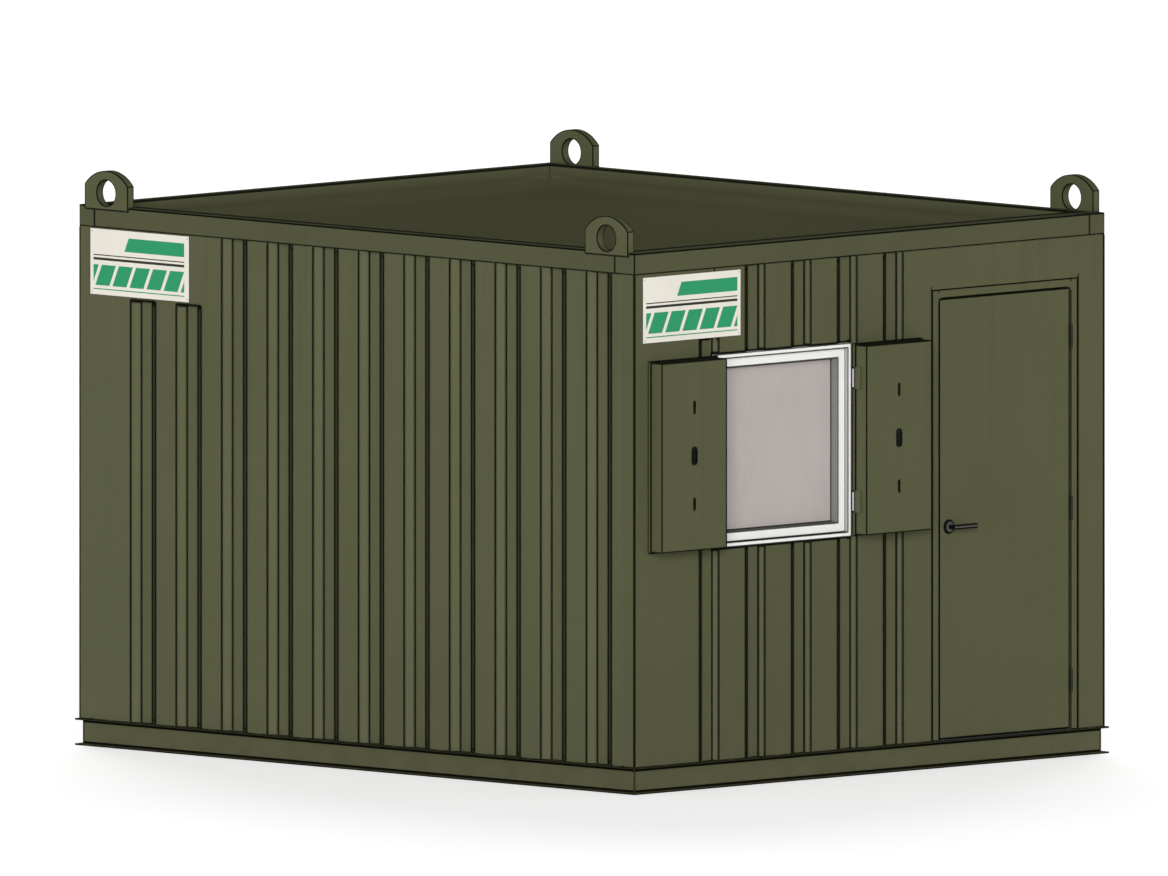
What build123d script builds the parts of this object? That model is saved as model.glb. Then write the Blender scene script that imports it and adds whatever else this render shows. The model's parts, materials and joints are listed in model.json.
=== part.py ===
from build123d import *
import os

# Portable steel site cabin. Millimetres. While it is drawn, X runs along the end wall that has
# the door and the window, from its left corner, Y runs back along the side walls and Z is up
# from the ground. Everything is moved to the middle of its own footprint when it is written.

# ---- driving sizes: the cabin ----
cabin_width = 3070.0
cabin_length = 3650.0
base_height = 125.0
eaves_height = 2415.0
wall_panel = 78.0
lining = 12.0
seam = 3.0

# ---- base frame: folded channels, open side outwards, mitred at the corners ----
flange_reach = 14.0
web_setback = 14.0
web_thickness = 6.0
flange_thickness = 8.0
deck_thickness = 18.0
joist_count = 7
joist_width = 50.0
joist_depth = 70.0

# ---- pressed ribs in the steel walls ----
side_groove_first = 336.5
side_groove_pitch = 299.6
side_groove_opening = 165.0
side_groove_floor = 70.0
side_groove_depth = 27.6
front_groove_first = 424.5
front_groove_pitch = 300.5
front_groove_count = 5
front_groove_opening = 127.0
front_groove_floor = 70.0
front_groove_depth = 18.6
plain_end = 145.0
plain_zone_height = 325.0

# ---- roof ring and roof ----
ring_height = 100.0
ring_width = 100.0
front_ring_width = 130.0
ring_corner = 2.0
roof_drop = 46.0
roof_sheet = 5.0
roof_cove_width = 300.0
ceiling_thickness = 12.0

# ---- lifting lugs ----
lug_width = 282.0
lug_height = 182.0
lug_thickness = 40.5
lug_proud = 4.0
lug_seat = 16.0
lug_end_distance = 40.0
lug_hole_radius = 61.0
lug_hole_height = 78.0

# ---- doorway and door ----
door_end_distance = 180.0
door_frame_width = 943.5
door_frame_top = 2222.0
door_frame_face = 40.0
door_stop = 12.0
leaf_thickness = 44.0
leaf_recess = 4.0
leaf_gap = 5.0
threshold_thickness = 3.0
door_hinge_end = 220.0
door_hinge_length = 100.0
door_barrel_radius = 5.5
door_barrel_reach = 6.0
door_hinge_plate = 2.5
door_hinge_flap = 30.0

# ---- door handle ----
handle_backset = 63.5
handle_height = 1117.0
rosette_radius = 30.5
rosette_thickness = 9.0
lever_length = 155.0
lever_height = 22.0
lever_thickness = 16.0
lever_clearance = 26.0
neck_radius = 10.0
spindle_side = 8.0
spindle_hole_radius = 6.5

# ---- window ----
window_width = 887.5
window_bottom = 1113.0
window_height = 900.0
window_fit = 1.0
window_proud = 2.0
frame_strip = 22.0
sash_setback = 20.0
sash_strip = 44.5
bead_count = 3
bead_step = 1.5
bead_depth = 13.0
glass_setback = 43.0
glass_thickness = 20.0
glass_edge = 8.0

# ---- window shutters, folded right back against the wall ----
shutter_end_distance = 83.0
shutter_axis_gap = 2.5
shutter_meeting_gap = 5.75
shutter_edge_gap = 2.5
shutter_wall_gap = 5.0
shutter_closed_gap = 9.0
shutter_lip = 7.0
pan_depth = 19.0
pan_sheet = 2.5
shutter_thickness = 86.0
box_sheet = 3.0
vent_length = 55.0
vent_width = 9.0
vent_offset = 225.0
pull_length = 86.0
pull_width = 38.0
pull_proud = 2.0
pull_rim = 3.0
pull_depth = 18.0
pull_wall = 2.0
pull_bar_width = 9.0
pull_bar_thickness = 7.0

# ---- shutter hinges ----
shutter_hinge_end = 160.5
shutter_hinge_length = 102.0
shutter_barrel_radius = 6.0
shutter_pin_radius = 3.0
shutter_arm = 3.0
shutter_flap = 2.0
shutter_flap_width = 28.0
pin_clearance = 0.2
knuckle_gap = 1.0

# ---- sign plates, left plain ----
side_sign_from_back = 75.0
side_sign_width = 651.0
side_sign_from_eaves = 4.0
front_sign_left = 51.0
front_sign_width = 640.0
front_sign_from_eaves = 13.0
sign_height = 309.0
sign_thickness = 3.0

# ---- worked out from the sizes above ----
wall_thickness = wall_panel + lining
ring_top = eaves_height + ring_height
shutter_width = window_width / 2 - shutter_meeting_gap
window_left = shutter_end_distance + shutter_width + 2 * shutter_axis_gap
window_right = window_left + window_width
window_top = window_bottom + window_height
door_right = cabin_width - door_end_distance
door_left = door_right - door_frame_width
plain_zone_bottom = eaves_height - plain_zone_height
lining_top = eaves_height - ceiling_thickness
front_reach = shutter_wall_gap + shutter_thickness + pull_proud
middle_y = (cabin_length + flange_reach - front_reach) / 2
row_origin = Pos(-cabin_width / 2, -middle_y, 0)


def block(x0, x1, y0, y1, z0, z1):
    """A box between two corners, given in any order."""
    size = (abs(x1 - x0), abs(y1 - y0), abs(z1 - z0))
    corner = Pos(min(x0, x1), min(y0, y1), min(z0, z1))
    return corner * Box(*size, align=(Align.MIN, Align.MIN, Align.MIN))


def upright_rod(x, y, z0, z1, radius):
    """A round bar standing upright."""
    return Pos(x, y, z0) * Cylinder(radius, z1 - z0, align=(Align.CENTER, Align.CENTER, Align.MIN))


def outward_rod(x, z, y0, y1, radius):
    """A round bar running front to back."""
    middle = Pos(x, (y0 + y1) / 2, z)
    return middle * Rot(90, 0, 0) * Cylinder(radius, abs(y1 - y0))


def upright_slot(x, z, length, width, y_front, y_back):
    """A bar with half-round ends, upright in the front wall's plane."""
    face = Plane(origin=(x, y_back, z), x_dir=(0, 0, 1), z_dir=(0, -1, 0))
    return extrude(face * SlotOverall(length, width), amount=y_back - y_front)


# ---- base frame ----

def base_beams():
    """Four channels cut from one ring by the corner mitres."""
    out = flange_reach
    back = web_setback + web_thickness
    whole = block(-out, cabin_width + out, -out, cabin_length + out, 0, base_height)
    inside = block(back, cabin_width - back, back, cabin_length - back, 0, base_height)
    low = flange_thickness
    high = base_height - flange_thickness
    hollow = block(-out, cabin_width + out, -out, cabin_length + out, low, high)
    web = web_setback
    hollow -= block(web, cabin_width - web, web, cabin_length - web, low, high)
    ring = whole - inside - hollow
    outer = [(-out, -out), (cabin_width + out, -out), (cabin_width + out, cabin_length + out),
             (-out, cabin_length + out)]
    inner = [(back, back), (cabin_width - back, back), (cabin_width - back, cabin_length - back),
             (back, cabin_length - back)]
    mitres = {
        "base_beam_front": [outer[0], outer[1], inner[1], inner[0]],
        "base_beam_right": [outer[1], outer[2], inner[2], inner[1]],
        "base_beam_back": [outer[2], outer[3], inner[3], inner[2]],
        "base_beam_left": [outer[3], outer[0], inner[0], inner[3]],
    }
    beams = {}
    for name, corners in mitres.items():
        wedge = extrude(make_face(Polyline(*corners, close=True)), amount=base_height)
        beams[name] = ring & wedge
    return beams


def floor_deck():
    """Plywood deck, flush with the top of the base frame."""
    edge = web_setback + web_thickness
    low = base_height - deck_thickness
    return block(edge, cabin_width - edge, edge, cabin_length - edge, low, base_height)


def floor_joists():
    """Cross joists between the side channels, under the deck."""
    edge = web_setback + web_thickness
    top = base_height - deck_thickness
    span = cabin_length - 2 * edge - joist_width
    joists = Part()
    for number in range(joist_count):
        y = edge + span * (number + 0.5) / joist_count
        joists += block(edge, cabin_width - edge, y, y + joist_width, top - joist_depth, top)
    return joists


# ---- walls ----

def pressed_panel(start, end, grooves, opening, floor, depth):
    """A steel wall panel along X, its outside at y = 0, with upright pressed grooves."""
    panel = block(start, end, 0, wall_panel, base_height, eaves_height)
    panel -= block(start, end, 0, seam, eaves_height - seam, eaves_height)
    slope = (opening - floor) / 2
    for left, top in grooves:
        outline = [(left, 0), (left + slope, depth), (left + slope + floor, depth), (left + opening, 0)]
        groove = extrude(make_face(Polyline(*outline, close=True)), amount=top - base_height)
        panel -= Pos(0, 0, base_height) * groove
    return panel


def side_panel(plain_grooves):
    """A long wall's panel, with its first grooves stopping under the sign's plain zone."""
    grooves = []
    room = cabin_length - side_groove_first - side_groove_opening - plain_end
    for number in range(int(room // side_groove_pitch) + 1):
        top = plain_zone_bottom if number < plain_grooves else eaves_height
        grooves.append((side_groove_first + number * side_groove_pitch, top))
    run = (wall_panel, cabin_length - wall_panel)
    return pressed_panel(*run, grooves, side_groove_opening, side_groove_floor, side_groove_depth)


def wall_left():
    return Pos(0, cabin_length, 0) * Rot(0, 0, -90) * side_panel(2)


def wall_right():
    facing_right = Pos(0, cabin_length, 0) * Rot(0, 0, -90) * side_panel(0)
    return facing_right.mirror(Plane.YZ.offset(cabin_width / 2))


def wall_back():
    steps = int((cabin_width - side_groove_opening - 2 * plain_end) // side_groove_pitch)
    first = (cabin_width - steps * side_groove_pitch - side_groove_opening) / 2
    grooves = [(first + n * side_groove_pitch, eaves_height) for n in range(steps + 1)]
    panel = pressed_panel(0, cabin_width, grooves, side_groove_opening, side_groove_floor, side_groove_depth)
    return Pos(cabin_width, cabin_length, 0) * Rot(0, 0, 180) * panel


def front_walls():
    """The end wall, split beside, under and over the window and the doorway."""
    grooves = []
    for number in range(front_groove_count):
        top = plain_zone_bottom if number == 0 else eaves_height
        grooves.append((front_groove_first + number * front_groove_pitch, top))
    panel = pressed_panel(
        0, cabin_width, grooves, front_groove_opening, front_groove_floor, front_groove_depth
    )
    left = window_left - window_fit
    right = window_right + window_fit
    door_side = door_left - seam
    door_far = door_right + seam
    spans = {
        "front_wall_left": (0, left, base_height, eaves_height),
        "front_wall_under_window": (left, right, base_height, window_bottom - window_fit),
        "front_wall_over_window": (left, right, window_top + window_fit, eaves_height),
        "front_wall_middle": (right, door_side, base_height, eaves_height),
        "front_wall_over_door": (door_side, door_far, door_frame_top + seam, eaves_height),
        "front_wall_right": (door_far, cabin_width, base_height, eaves_height),
    }
    return {
        name: panel & block(x0, x1, 0, wall_panel, z0, z1) for name, (x0, x1, z0, z1) in spans.items()
    }


def wall_linings():
    """Lining boards on the inside of the four walls, an open joint at each corner."""
    outer = wall_panel
    inner = wall_thickness
    far_x = cabin_width - outer
    far_y = cabin_length - outer
    low = base_height
    front = block(outer + seam, far_x - seam, outer, inner, low, lining_top)
    front -= block(window_left, window_right, outer, inner, window_bottom, window_top)
    front -= block(door_left, door_right, outer, inner, low, door_frame_top)
    back = block(outer + seam, far_x - seam, far_y - lining, far_y, low, lining_top)
    left = block(outer, inner, inner + seam, far_y - lining - seam, low, lining_top)
    right = block(far_x - lining, far_x, inner + seam, far_y - lining - seam, low, lining_top)
    return Compound(children=[front, back, left, right])


def ceiling_panel():
    """The ceiling board, laid on top of the linings."""
    edge = wall_panel
    return block(edge, cabin_width - edge, edge, cabin_length - edge, lining_top, eaves_height)


# ---- roof ----

def roof_beams():
    """The roof ring: square tubes, each let down for the lugs that are welded into it."""
    spans = {
        "roof_beam_front": (0, cabin_width - ring_width, 0, front_ring_width),
        "roof_beam_back": (0, cabin_width, cabin_length - ring_width, cabin_length),
        "roof_beam_left": (0, ring_width, front_ring_width, cabin_length - ring_width),
        "roof_beam_right": (cabin_width - ring_width, cabin_width, 0, cabin_length - ring_width),
    }
    beams = {}
    for name, span in spans.items():
        beam = block(*span, eaves_height, ring_top)
        beam = chamfer(beam.edges(), ring_corner)
        for x0, x1, y0, y1 in lug_places():
            beam -= block(x0, x1, y0, y1, ring_top - lug_seat, ring_top + lug_height)
        beams[name] = beam
    return beams


def cove(length):
    """The curved rise at the roof sheet's edge, along +Y, its high side at x = 0, mitred at both ends."""
    top = ring_height - roof_drop
    width = roof_cove_width
    outline = [
        Polyline((width, roof_sheet), (width, 0), (0, 0), (0, top)),
        EllipticalCenterArc((width, top), width, top - roof_sheet, 180, arc_size=90),
    ]
    section = Plane.XZ * make_face(outline)
    plan = Polyline((0, 0), (width, width), (width, length - width), (0, length), close=True)
    return extrude(section, amount=-length) & extrude(make_face(plan), amount=top)


def roof_panel():
    """The roof sheet: a shallow tray inside the ring, curved up to the ring on all sides."""
    x0 = ring_width
    x1 = cabin_width - ring_width
    y0 = front_ring_width
    y1 = cabin_length - ring_width
    flat = roof_cove_width
    sheet = block(x0 + flat, x1 - flat, y0 + flat, y1 - flat, 0, roof_sheet)
    sheet += Pos(x0, y0, 0) * cove(y1 - y0)
    sheet += Pos(x1, y1, 0) * Rot(0, 0, 180) * cove(y1 - y0)
    sheet += Pos(x1, y0, 0) * Rot(0, 0, 90) * cove(x1 - x0)
    sheet += Pos(x0, y1, 0) * Rot(0, 0, -90) * cove(x1 - x0)
    return Pos(0, 0, eaves_height) * sheet


def lug_places():
    """Plan of the four lugs: x and y spans, in the ring's outer top edges near its corners."""
    near = (lug_end_distance, lug_end_distance + lug_width)
    far = (cabin_length - lug_end_distance - lug_width, cabin_length - lug_end_distance)
    left = (-lug_proud, lug_thickness - lug_proud)
    right = (cabin_width + lug_proud - lug_thickness, cabin_width + lug_proud)
    return [(*left, *near), (*right, *near), (*left, *far), (*right, *far)]


def lifting_lugs():
    """Thick plates with a round top and a shackle hole."""
    bottom = ring_top - lug_seat
    lugs = []
    for x0, x1, y0, y1 in lug_places():
        middle = (y0 + y1) / 2
        along = Pos((x0 + x1) / 2, middle, bottom) * Rot(0, 90, 0)
        plate = block(x0, x1, y0, y1, bottom, bottom + lug_height)
        plate &= along * Cylinder(lug_height, lug_thickness)
        plate -= Pos(0, 0, lug_hole_height) * along * Cylinder(lug_hole_radius, lug_thickness)
        lugs.append(plate)
    return Compound(children=lugs)


# ---- doorway and door ----

leaf_left = door_left + door_frame_face + leaf_gap
leaf_right = door_right - door_frame_face - leaf_gap
leaf_bottom = base_height + threshold_thickness + leaf_gap
leaf_top = door_frame_top - door_frame_face - leaf_gap
leaf_back = leaf_recess + leaf_thickness
stop_front = leaf_back + leaf_gap
door_axis_x = leaf_right + leaf_gap / 2
door_axis_y = -door_barrel_reach
handle_x = leaf_left + handle_backset
hinge_face = door_right - door_frame_face


def door_hinge_spans():
    """Lower and upper ends of the three door hinges."""
    lowest = leaf_bottom + door_hinge_end
    highest = leaf_top - door_hinge_end
    half = door_hinge_length / 2
    return [(z - half, z + half) for z in (lowest, (lowest + highest) / 2, highest)]


def door_jambs():
    """The two uprights of the door frame, each with the stop that the leaf closes on."""
    jambs = []
    for edge, inward in ((door_left, 1), (door_right, -1)):
        face = edge + inward * door_frame_face
        jamb = block(edge, face, 0, wall_thickness, base_height, door_frame_top)
        stop = face + inward * door_stop
        jamb += block(face, stop, stop_front, wall_thickness, base_height, door_frame_top)
        if face == hinge_face:
            for low, high in door_hinge_spans():
                jamb -= block(face, face + door_hinge_plate, 0, door_hinge_flap, low, high)
        jambs.append(jamb)
    return Compound(children=jambs)


def door_head():
    """The top bar of the door frame, between the jambs and their stops."""
    low = door_frame_top - door_frame_face
    x0 = door_left + door_frame_face
    x1 = door_right - door_frame_face
    head = block(x0, x1, 0, stop_front, low, door_frame_top)
    head += block(
        x0 + door_stop, x1 - door_stop, stop_front, wall_thickness, low - door_stop, door_frame_top
    )
    return head


def door_threshold():
    """A flat steel strip across the doorway, between the jambs."""
    x0 = door_left + door_frame_face
    x1 = door_right - door_frame_face
    return block(x0, x1, 0, stop_front, base_height, base_height + threshold_thickness)


def door_leaf():
    leaf = block(leaf_left, leaf_right, leaf_recess, leaf_back, leaf_bottom, leaf_top)
    leaf -= outward_rod(handle_x, handle_height, leaf_recess, leaf_back, spindle_hole_radius)
    for low, high in door_hinge_spans():
        leaf -= block(leaf_right - door_hinge_plate, leaf_right, leaf_recess,
                      leaf_recess + door_hinge_flap, low, high)
    return leaf


def door_hinges():
    """Butt hinges let into the leaf's edge and the jamb: two frame knuckles, one leaf knuckle."""
    third = door_hinge_length / 3
    radius = door_barrel_radius
    pin = radius / 2
    plate = door_hinge_plate
    fixed = []
    moving = []
    for low, high in door_hinge_spans():
        inner_low = low + third + knuckle_gap
        inner_high = high - third - knuckle_gap
        frame_half = block(hinge_face, hinge_face + plate, 0, door_hinge_flap, low, high)
        for z0, z1 in ((low, low + third), (high - third, high)):
            frame_half += block(hinge_face, hinge_face + plate, door_axis_y, 0, z0, z1)
            frame_half += upright_rod(door_axis_x, door_axis_y, z0, z1, radius)
        frame_half += upright_rod(door_axis_x, door_axis_y, low, high, pin)
        leaf_half = block(leaf_right - plate, leaf_right, leaf_recess, leaf_recess + door_hinge_flap,
                          low, high)
        leaf_half += block(leaf_right - plate, leaf_right, door_axis_y, leaf_recess, inner_low, inner_high)
        leaf_half += upright_rod(door_axis_x, door_axis_y, inner_low, inner_high, radius)
        leaf_half -= upright_rod(door_axis_x, door_axis_y, low, high, pin + pin_clearance)
        fixed.append(frame_half)
        moving.append(leaf_half)
    return Compound(children=fixed), Compound(children=moving)


def door_rosettes():
    """Round cover plates on both faces of the leaf, the lever's neck turning in them."""
    plates = []
    for face, out in ((leaf_recess, -1), (leaf_back, 1)):
        rim = face + out * rosette_thickness
        plate = outward_rod(handle_x, handle_height, face, rim, rosette_radius)
        plate -= outward_rod(handle_x, handle_height, face, rim, neck_radius + pin_clearance)
        plates.append(plate)
    return Compound(children=plates)


def lever(face, out):
    """A straight lever on a round neck, standing out from one face of the leaf."""
    grip_near = face + out * (rosette_thickness + lever_clearance)
    grip_far = grip_near + out * lever_thickness
    x0 = handle_x - lever_height / 2
    half = lever_height / 2
    grip = block(x0, x0 + lever_length, grip_near, grip_far, handle_height - half, handle_height + half)
    grip = fillet(grip.edges(), lever_thickness / 3)
    return grip + outward_rod(handle_x, handle_height, face, (grip_near + grip_far) / 2, neck_radius)


def door_levers():
    """The outside lever with its square spindle, and the inside lever that fits over it."""
    half = spindle_side / 2
    spindle_end = leaf_back + rosette_thickness
    outside = lever(leaf_recess, -1)
    outside += block(handle_x - half, handle_x + half, leaf_recess, spindle_end,
                     handle_height - half, handle_height + half)
    socket = half + pin_clearance
    inside = lever(leaf_back, 1)
    inside -= block(handle_x - socket, handle_x + socket, leaf_back, spindle_end + pin_clearance,
                    handle_height - socket, handle_height + socket)
    return outside, inside


# ---- window ----

def window_ring(inset, y_front, y_back, width):
    """A rectangular ring inside the window's outline, inset from it."""
    outer = block(window_left + inset, window_right - inset, y_front, y_back,
                  window_bottom + inset, window_top - inset)
    hole = inset + width
    return outer - block(window_left + hole, window_right - hole, y_front, y_back,
                         window_bottom + hole, window_top - hole)


sash_front = sash_setback - window_proud
glass_front = sash_front + glass_setback
glass_back = glass_front + glass_thickness
sash_back = wall_thickness - window_proud
sash_opening = frame_strip + sash_strip + bead_count * bead_step


def window_frame():
    return window_ring(0, -window_proud, wall_thickness, frame_strip)


def window_sash():
    """The sash: a stepped bead down to the glass, and a groove that holds the glass."""
    sash = window_ring(frame_strip, sash_front, sash_back, sash_strip)
    for step in range(1, bead_count + 1):
        step_front = glass_front - (bead_count + 1 - step) * bead_depth
        sash += window_ring(frame_strip, step_front, sash_back, sash_strip + step * bead_step)
    edge = sash_opening - glass_edge
    sash -= block(window_left + edge, window_right - edge, glass_front, glass_back,
                  window_bottom + edge, window_top - edge)
    return sash


def window_glass():
    edge = sash_opening - glass_edge
    return block(window_left + edge, window_right - edge, glass_front, glass_back,
                 window_bottom + edge, window_top - edge)


# ---- shutters: x = axis + hand * distance, hand +1 on the right and -1 on the left ----

shutter_bottom = window_bottom + shutter_edge_gap
shutter_top = window_top - shutter_edge_gap
shutter_back = -shutter_wall_gap
shutter_front = -(shutter_wall_gap + shutter_thickness)
shutter_axis_y = -(shutter_wall_gap + shutter_thickness + shutter_closed_gap) / 2
left_axis_x = window_left - shutter_axis_gap
right_axis_x = window_right + shutter_axis_gap
pull_distance = shutter_axis_gap + shutter_width / 2
pull_z = (shutter_bottom + shutter_top) / 2


def shutter_block(axis, hand, near, far, y0, y1, z0, z1):
    return block(axis + hand * near, axis + hand * far, y0, y1, z0, z1)


def shutter_pan(axis, hand):
    """The weather tray behind the shutter, with a folded rim round the box."""
    near = shutter_axis_gap
    far = near + shutter_width
    lip = shutter_lip
    rim = shutter_back - pan_depth
    pan = shutter_block(axis, hand, near, far, shutter_back, rim, shutter_bottom, shutter_top)
    pan -= shutter_block(axis, hand, near + lip, far - lip, shutter_back - pan_sheet, rim,
                         shutter_bottom + lip, shutter_top - lip)
    return pan


def shutter_box(axis, hand):
    """The folded steel box set in the tray, with two vents and a hole for the pull."""
    near = shutter_axis_gap + shutter_lip
    far = shutter_axis_gap + shutter_width - shutter_lip
    low = shutter_bottom + shutter_lip
    high = shutter_top - shutter_lip
    back = shutter_back - pan_sheet
    sheet = box_sheet
    body = shutter_block(axis, hand, near, far, back, shutter_front, low, high)
    body -= shutter_block(axis, hand, near + sheet, far - sheet, back, shutter_front + sheet,
                          low + sheet, high - sheet)
    x = axis + hand * pull_distance
    for offset in (-vent_offset, vent_offset):
        vent_z = pull_z + offset
        body -= upright_slot(x, vent_z, vent_length, vent_width, shutter_front, shutter_front + sheet)
    hole_length = pull_length - 2 * pull_rim
    hole_width = pull_width - 2 * pull_rim
    body -= upright_slot(x, pull_z, hole_length, hole_width, shutter_front, shutter_front + sheet)
    return body


def shutter_pull(axis, hand):
    """A sunk pull: an oblong cup with a proud rim and a bar down its middle."""
    x = axis + hand * pull_distance
    length = pull_length - 2 * pull_rim
    width = pull_width - 2 * pull_rim
    front = shutter_front - pull_proud
    back = shutter_front + pull_depth
    cup = upright_slot(x, pull_z, pull_length, pull_width, front, shutter_front)
    cup += upright_slot(x, pull_z, length, width, shutter_front, back)
    cup -= upright_slot(x, pull_z, length - 2 * pull_wall, width - 2 * pull_wall, front, back - pull_wall)
    half = pull_bar_width / 2
    reach = length / 2 - pull_wall / 2
    cup += block(x - half, x + half, shutter_front, shutter_front + pull_bar_thickness,
                 pull_z - reach, pull_z + reach)
    return cup


def shutter_hinge_pair(axis, hand, wall):
    """Cranked hinges: an arm from the wall to the pin, and a flap on the side of the box."""
    third = shutter_hinge_length / 3
    radius = shutter_barrel_radius
    arm = shutter_arm / 2
    box_side = shutter_axis_gap + shutter_lip
    fixed = []
    moving = []
    for height in (shutter_bottom + shutter_hinge_end, shutter_top - shutter_hinge_end):
        low = height - shutter_hinge_length / 2
        high = height + shutter_hinge_length / 2
        bracket = shutter_block(axis, hand, -arm, arm, shutter_axis_y, front_groove_depth, low, high)
        bracket -= wall
        bracket -= upright_rod(axis, shutter_axis_y, low + third, high - third, radius + knuckle_gap)
        bracket += upright_rod(axis, shutter_axis_y, low, low + third, radius)
        bracket += upright_rod(axis, shutter_axis_y, high - third, high, radius)
        bracket += upright_rod(axis, shutter_axis_y, low, high, shutter_pin_radius)
        inner_low = low + third + knuckle_gap
        inner_high = high - third - knuckle_gap
        flap = shutter_block(axis, hand, box_side - shutter_flap, box_side,
                             shutter_axis_y - shutter_flap_width / 2,
                             shutter_axis_y + shutter_flap_width / 2, low, high)
        flap += shutter_block(axis, hand, 0, box_side - shutter_flap, shutter_axis_y - arm,
                              shutter_axis_y + arm, inner_low, inner_high)
        flap += upright_rod(axis, shutter_axis_y, inner_low, inner_high, radius)
        flap -= upright_rod(axis, shutter_axis_y, low, high, shutter_pin_radius + pin_clearance)
        fixed.append(bracket)
        moving.append(flap)
    return fixed, moving


# ---- sign plates ----

def sign_plates():
    """Blank aluminium sign plates, one on the long wall and one over the window's left."""
    side_y = cabin_length - side_sign_from_back
    side_top = eaves_height - side_sign_from_eaves
    side = block(-sign_thickness, 0, side_y - side_sign_width, side_y, side_top - sign_height, side_top)
    front_top = eaves_height - front_sign_from_eaves
    front = block(front_sign_left, front_sign_left + front_sign_width, -sign_thickness, 0,
                  front_top - sign_height, front_top)
    return Compound(children=[side, front])


# ---- the whole cabin ----

nodes = {}
nodes.update(base_beams())
nodes["floor_joists"] = floor_joists()
nodes["floor_deck"] = floor_deck()
nodes["wall_left"] = wall_left()
nodes["wall_right"] = wall_right()
nodes["wall_back"] = wall_back()
front_pieces = front_walls()
nodes.update(front_pieces)
nodes["wall_linings"] = wall_linings()
nodes["ceiling_panel"] = ceiling_panel()
nodes.update(roof_beams())
nodes["roof_panel"] = roof_panel()
nodes["lifting_lugs"] = lifting_lugs()
nodes["door_jambs"] = door_jambs()
nodes["door_head"] = door_head()
nodes["door_threshold"] = door_threshold()
nodes["door_leaf"] = door_leaf()
nodes["door_hinges_fixed"], nodes["door_hinges_moving"] = door_hinges()
nodes["door_rosettes"] = door_rosettes()
nodes["door_lever_outside"], nodes["door_lever_inside"] = door_levers()
nodes["window_frame"] = window_frame()
nodes["window_sash"] = window_sash()
nodes["window_glass"] = window_glass()
hinge_brackets = []
shutters = (
    ("left", left_axis_x, -1, "front_wall_left"),
    ("right", right_axis_x, 1, "front_wall_middle"),
)
for side, axis, hand, wall in shutters:
    nodes[side + "_shutter_pan"] = shutter_pan(axis, hand)
    nodes[side + "_shutter_box"] = shutter_box(axis, hand)
    nodes[side + "_shutter_pull"] = shutter_pull(axis, hand)
    brackets, flaps = shutter_hinge_pair(axis, hand, front_pieces[wall])
    hinge_brackets += brackets
    nodes[side + "_shutter_flaps"] = Compound(children=flaps)
nodes["shutter_brackets"] = Compound(children=hinge_brackets)
nodes["sign_plates"] = sign_plates()

os.makedirs("parts", exist_ok=True)
for name, shape in nodes.items():
    export_step(row_origin * shape, "parts/" + name + ".step")
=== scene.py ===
import json
import math

import bmesh
import bpy
from mathutils import Matrix, Vector


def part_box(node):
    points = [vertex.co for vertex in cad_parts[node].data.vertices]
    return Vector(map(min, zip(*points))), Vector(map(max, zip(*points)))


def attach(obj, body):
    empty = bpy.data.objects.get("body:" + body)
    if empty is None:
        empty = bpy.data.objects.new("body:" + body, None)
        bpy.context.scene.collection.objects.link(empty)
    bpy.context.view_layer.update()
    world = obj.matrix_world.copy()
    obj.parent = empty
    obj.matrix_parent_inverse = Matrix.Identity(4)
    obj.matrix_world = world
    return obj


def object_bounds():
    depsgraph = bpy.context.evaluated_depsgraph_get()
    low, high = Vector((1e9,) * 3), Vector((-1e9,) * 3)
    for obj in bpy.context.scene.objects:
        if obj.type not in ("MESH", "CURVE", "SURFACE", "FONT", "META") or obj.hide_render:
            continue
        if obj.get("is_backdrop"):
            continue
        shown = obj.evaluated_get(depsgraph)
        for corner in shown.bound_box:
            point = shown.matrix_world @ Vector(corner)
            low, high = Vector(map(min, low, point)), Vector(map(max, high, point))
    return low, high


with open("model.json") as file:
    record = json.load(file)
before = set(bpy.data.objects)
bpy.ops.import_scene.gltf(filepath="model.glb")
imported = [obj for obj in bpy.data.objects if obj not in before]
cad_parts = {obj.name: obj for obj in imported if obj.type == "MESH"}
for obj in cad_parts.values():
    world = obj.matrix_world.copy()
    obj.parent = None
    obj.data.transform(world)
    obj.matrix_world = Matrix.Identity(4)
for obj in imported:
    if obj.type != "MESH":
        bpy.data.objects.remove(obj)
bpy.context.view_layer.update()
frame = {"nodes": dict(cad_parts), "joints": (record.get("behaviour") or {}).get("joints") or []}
scene = bpy.context.scene


# ---- where the cabin stands ----
# A parallel view of the two walls that meet at the near left corner, from just above the eye line.
# The cabin stands on a plain white studio floor under soft light from all round.


def direction(azimuth, elevation):
    """The way out from the cabin at an azimuth from its door wall and an elevation, in degrees."""
    a = math.radians(azimuth)
    e = math.radians(elevation)
    return Vector((math.sin(a) * math.cos(e), -math.cos(a) * math.cos(e), math.sin(e)))


near_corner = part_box("front_wall_left")[0].copy()
near_corner.z = 0
view_azimuth = -44.8
view_back = direction(view_azimuth, 5.13)
view_right = direction(view_azimuth + 90, 0)
view_up = view_back.cross(view_right)
corner_right_of_middle = 0.2338
corner_below_middle = 1.6529
camera_distance = 20

camera = bpy.data.objects.new("studio_camera", bpy.data.cameras.new("studio_camera"))
scene.collection.objects.link(camera)
scene.camera = camera
camera.data.type = "ORTHO"
camera.data.ortho_scale = 5.41
camera.data.clip_end = 100
camera.rotation_mode = "QUATERNION"
camera.rotation_quaternion = view_back.to_track_quat("Z", "Y")
camera.location = near_corner - view_right * corner_right_of_middle + view_up * corner_below_middle
camera.location += view_back * camera_distance

scene.view_settings.view_transform = "Standard"


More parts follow.
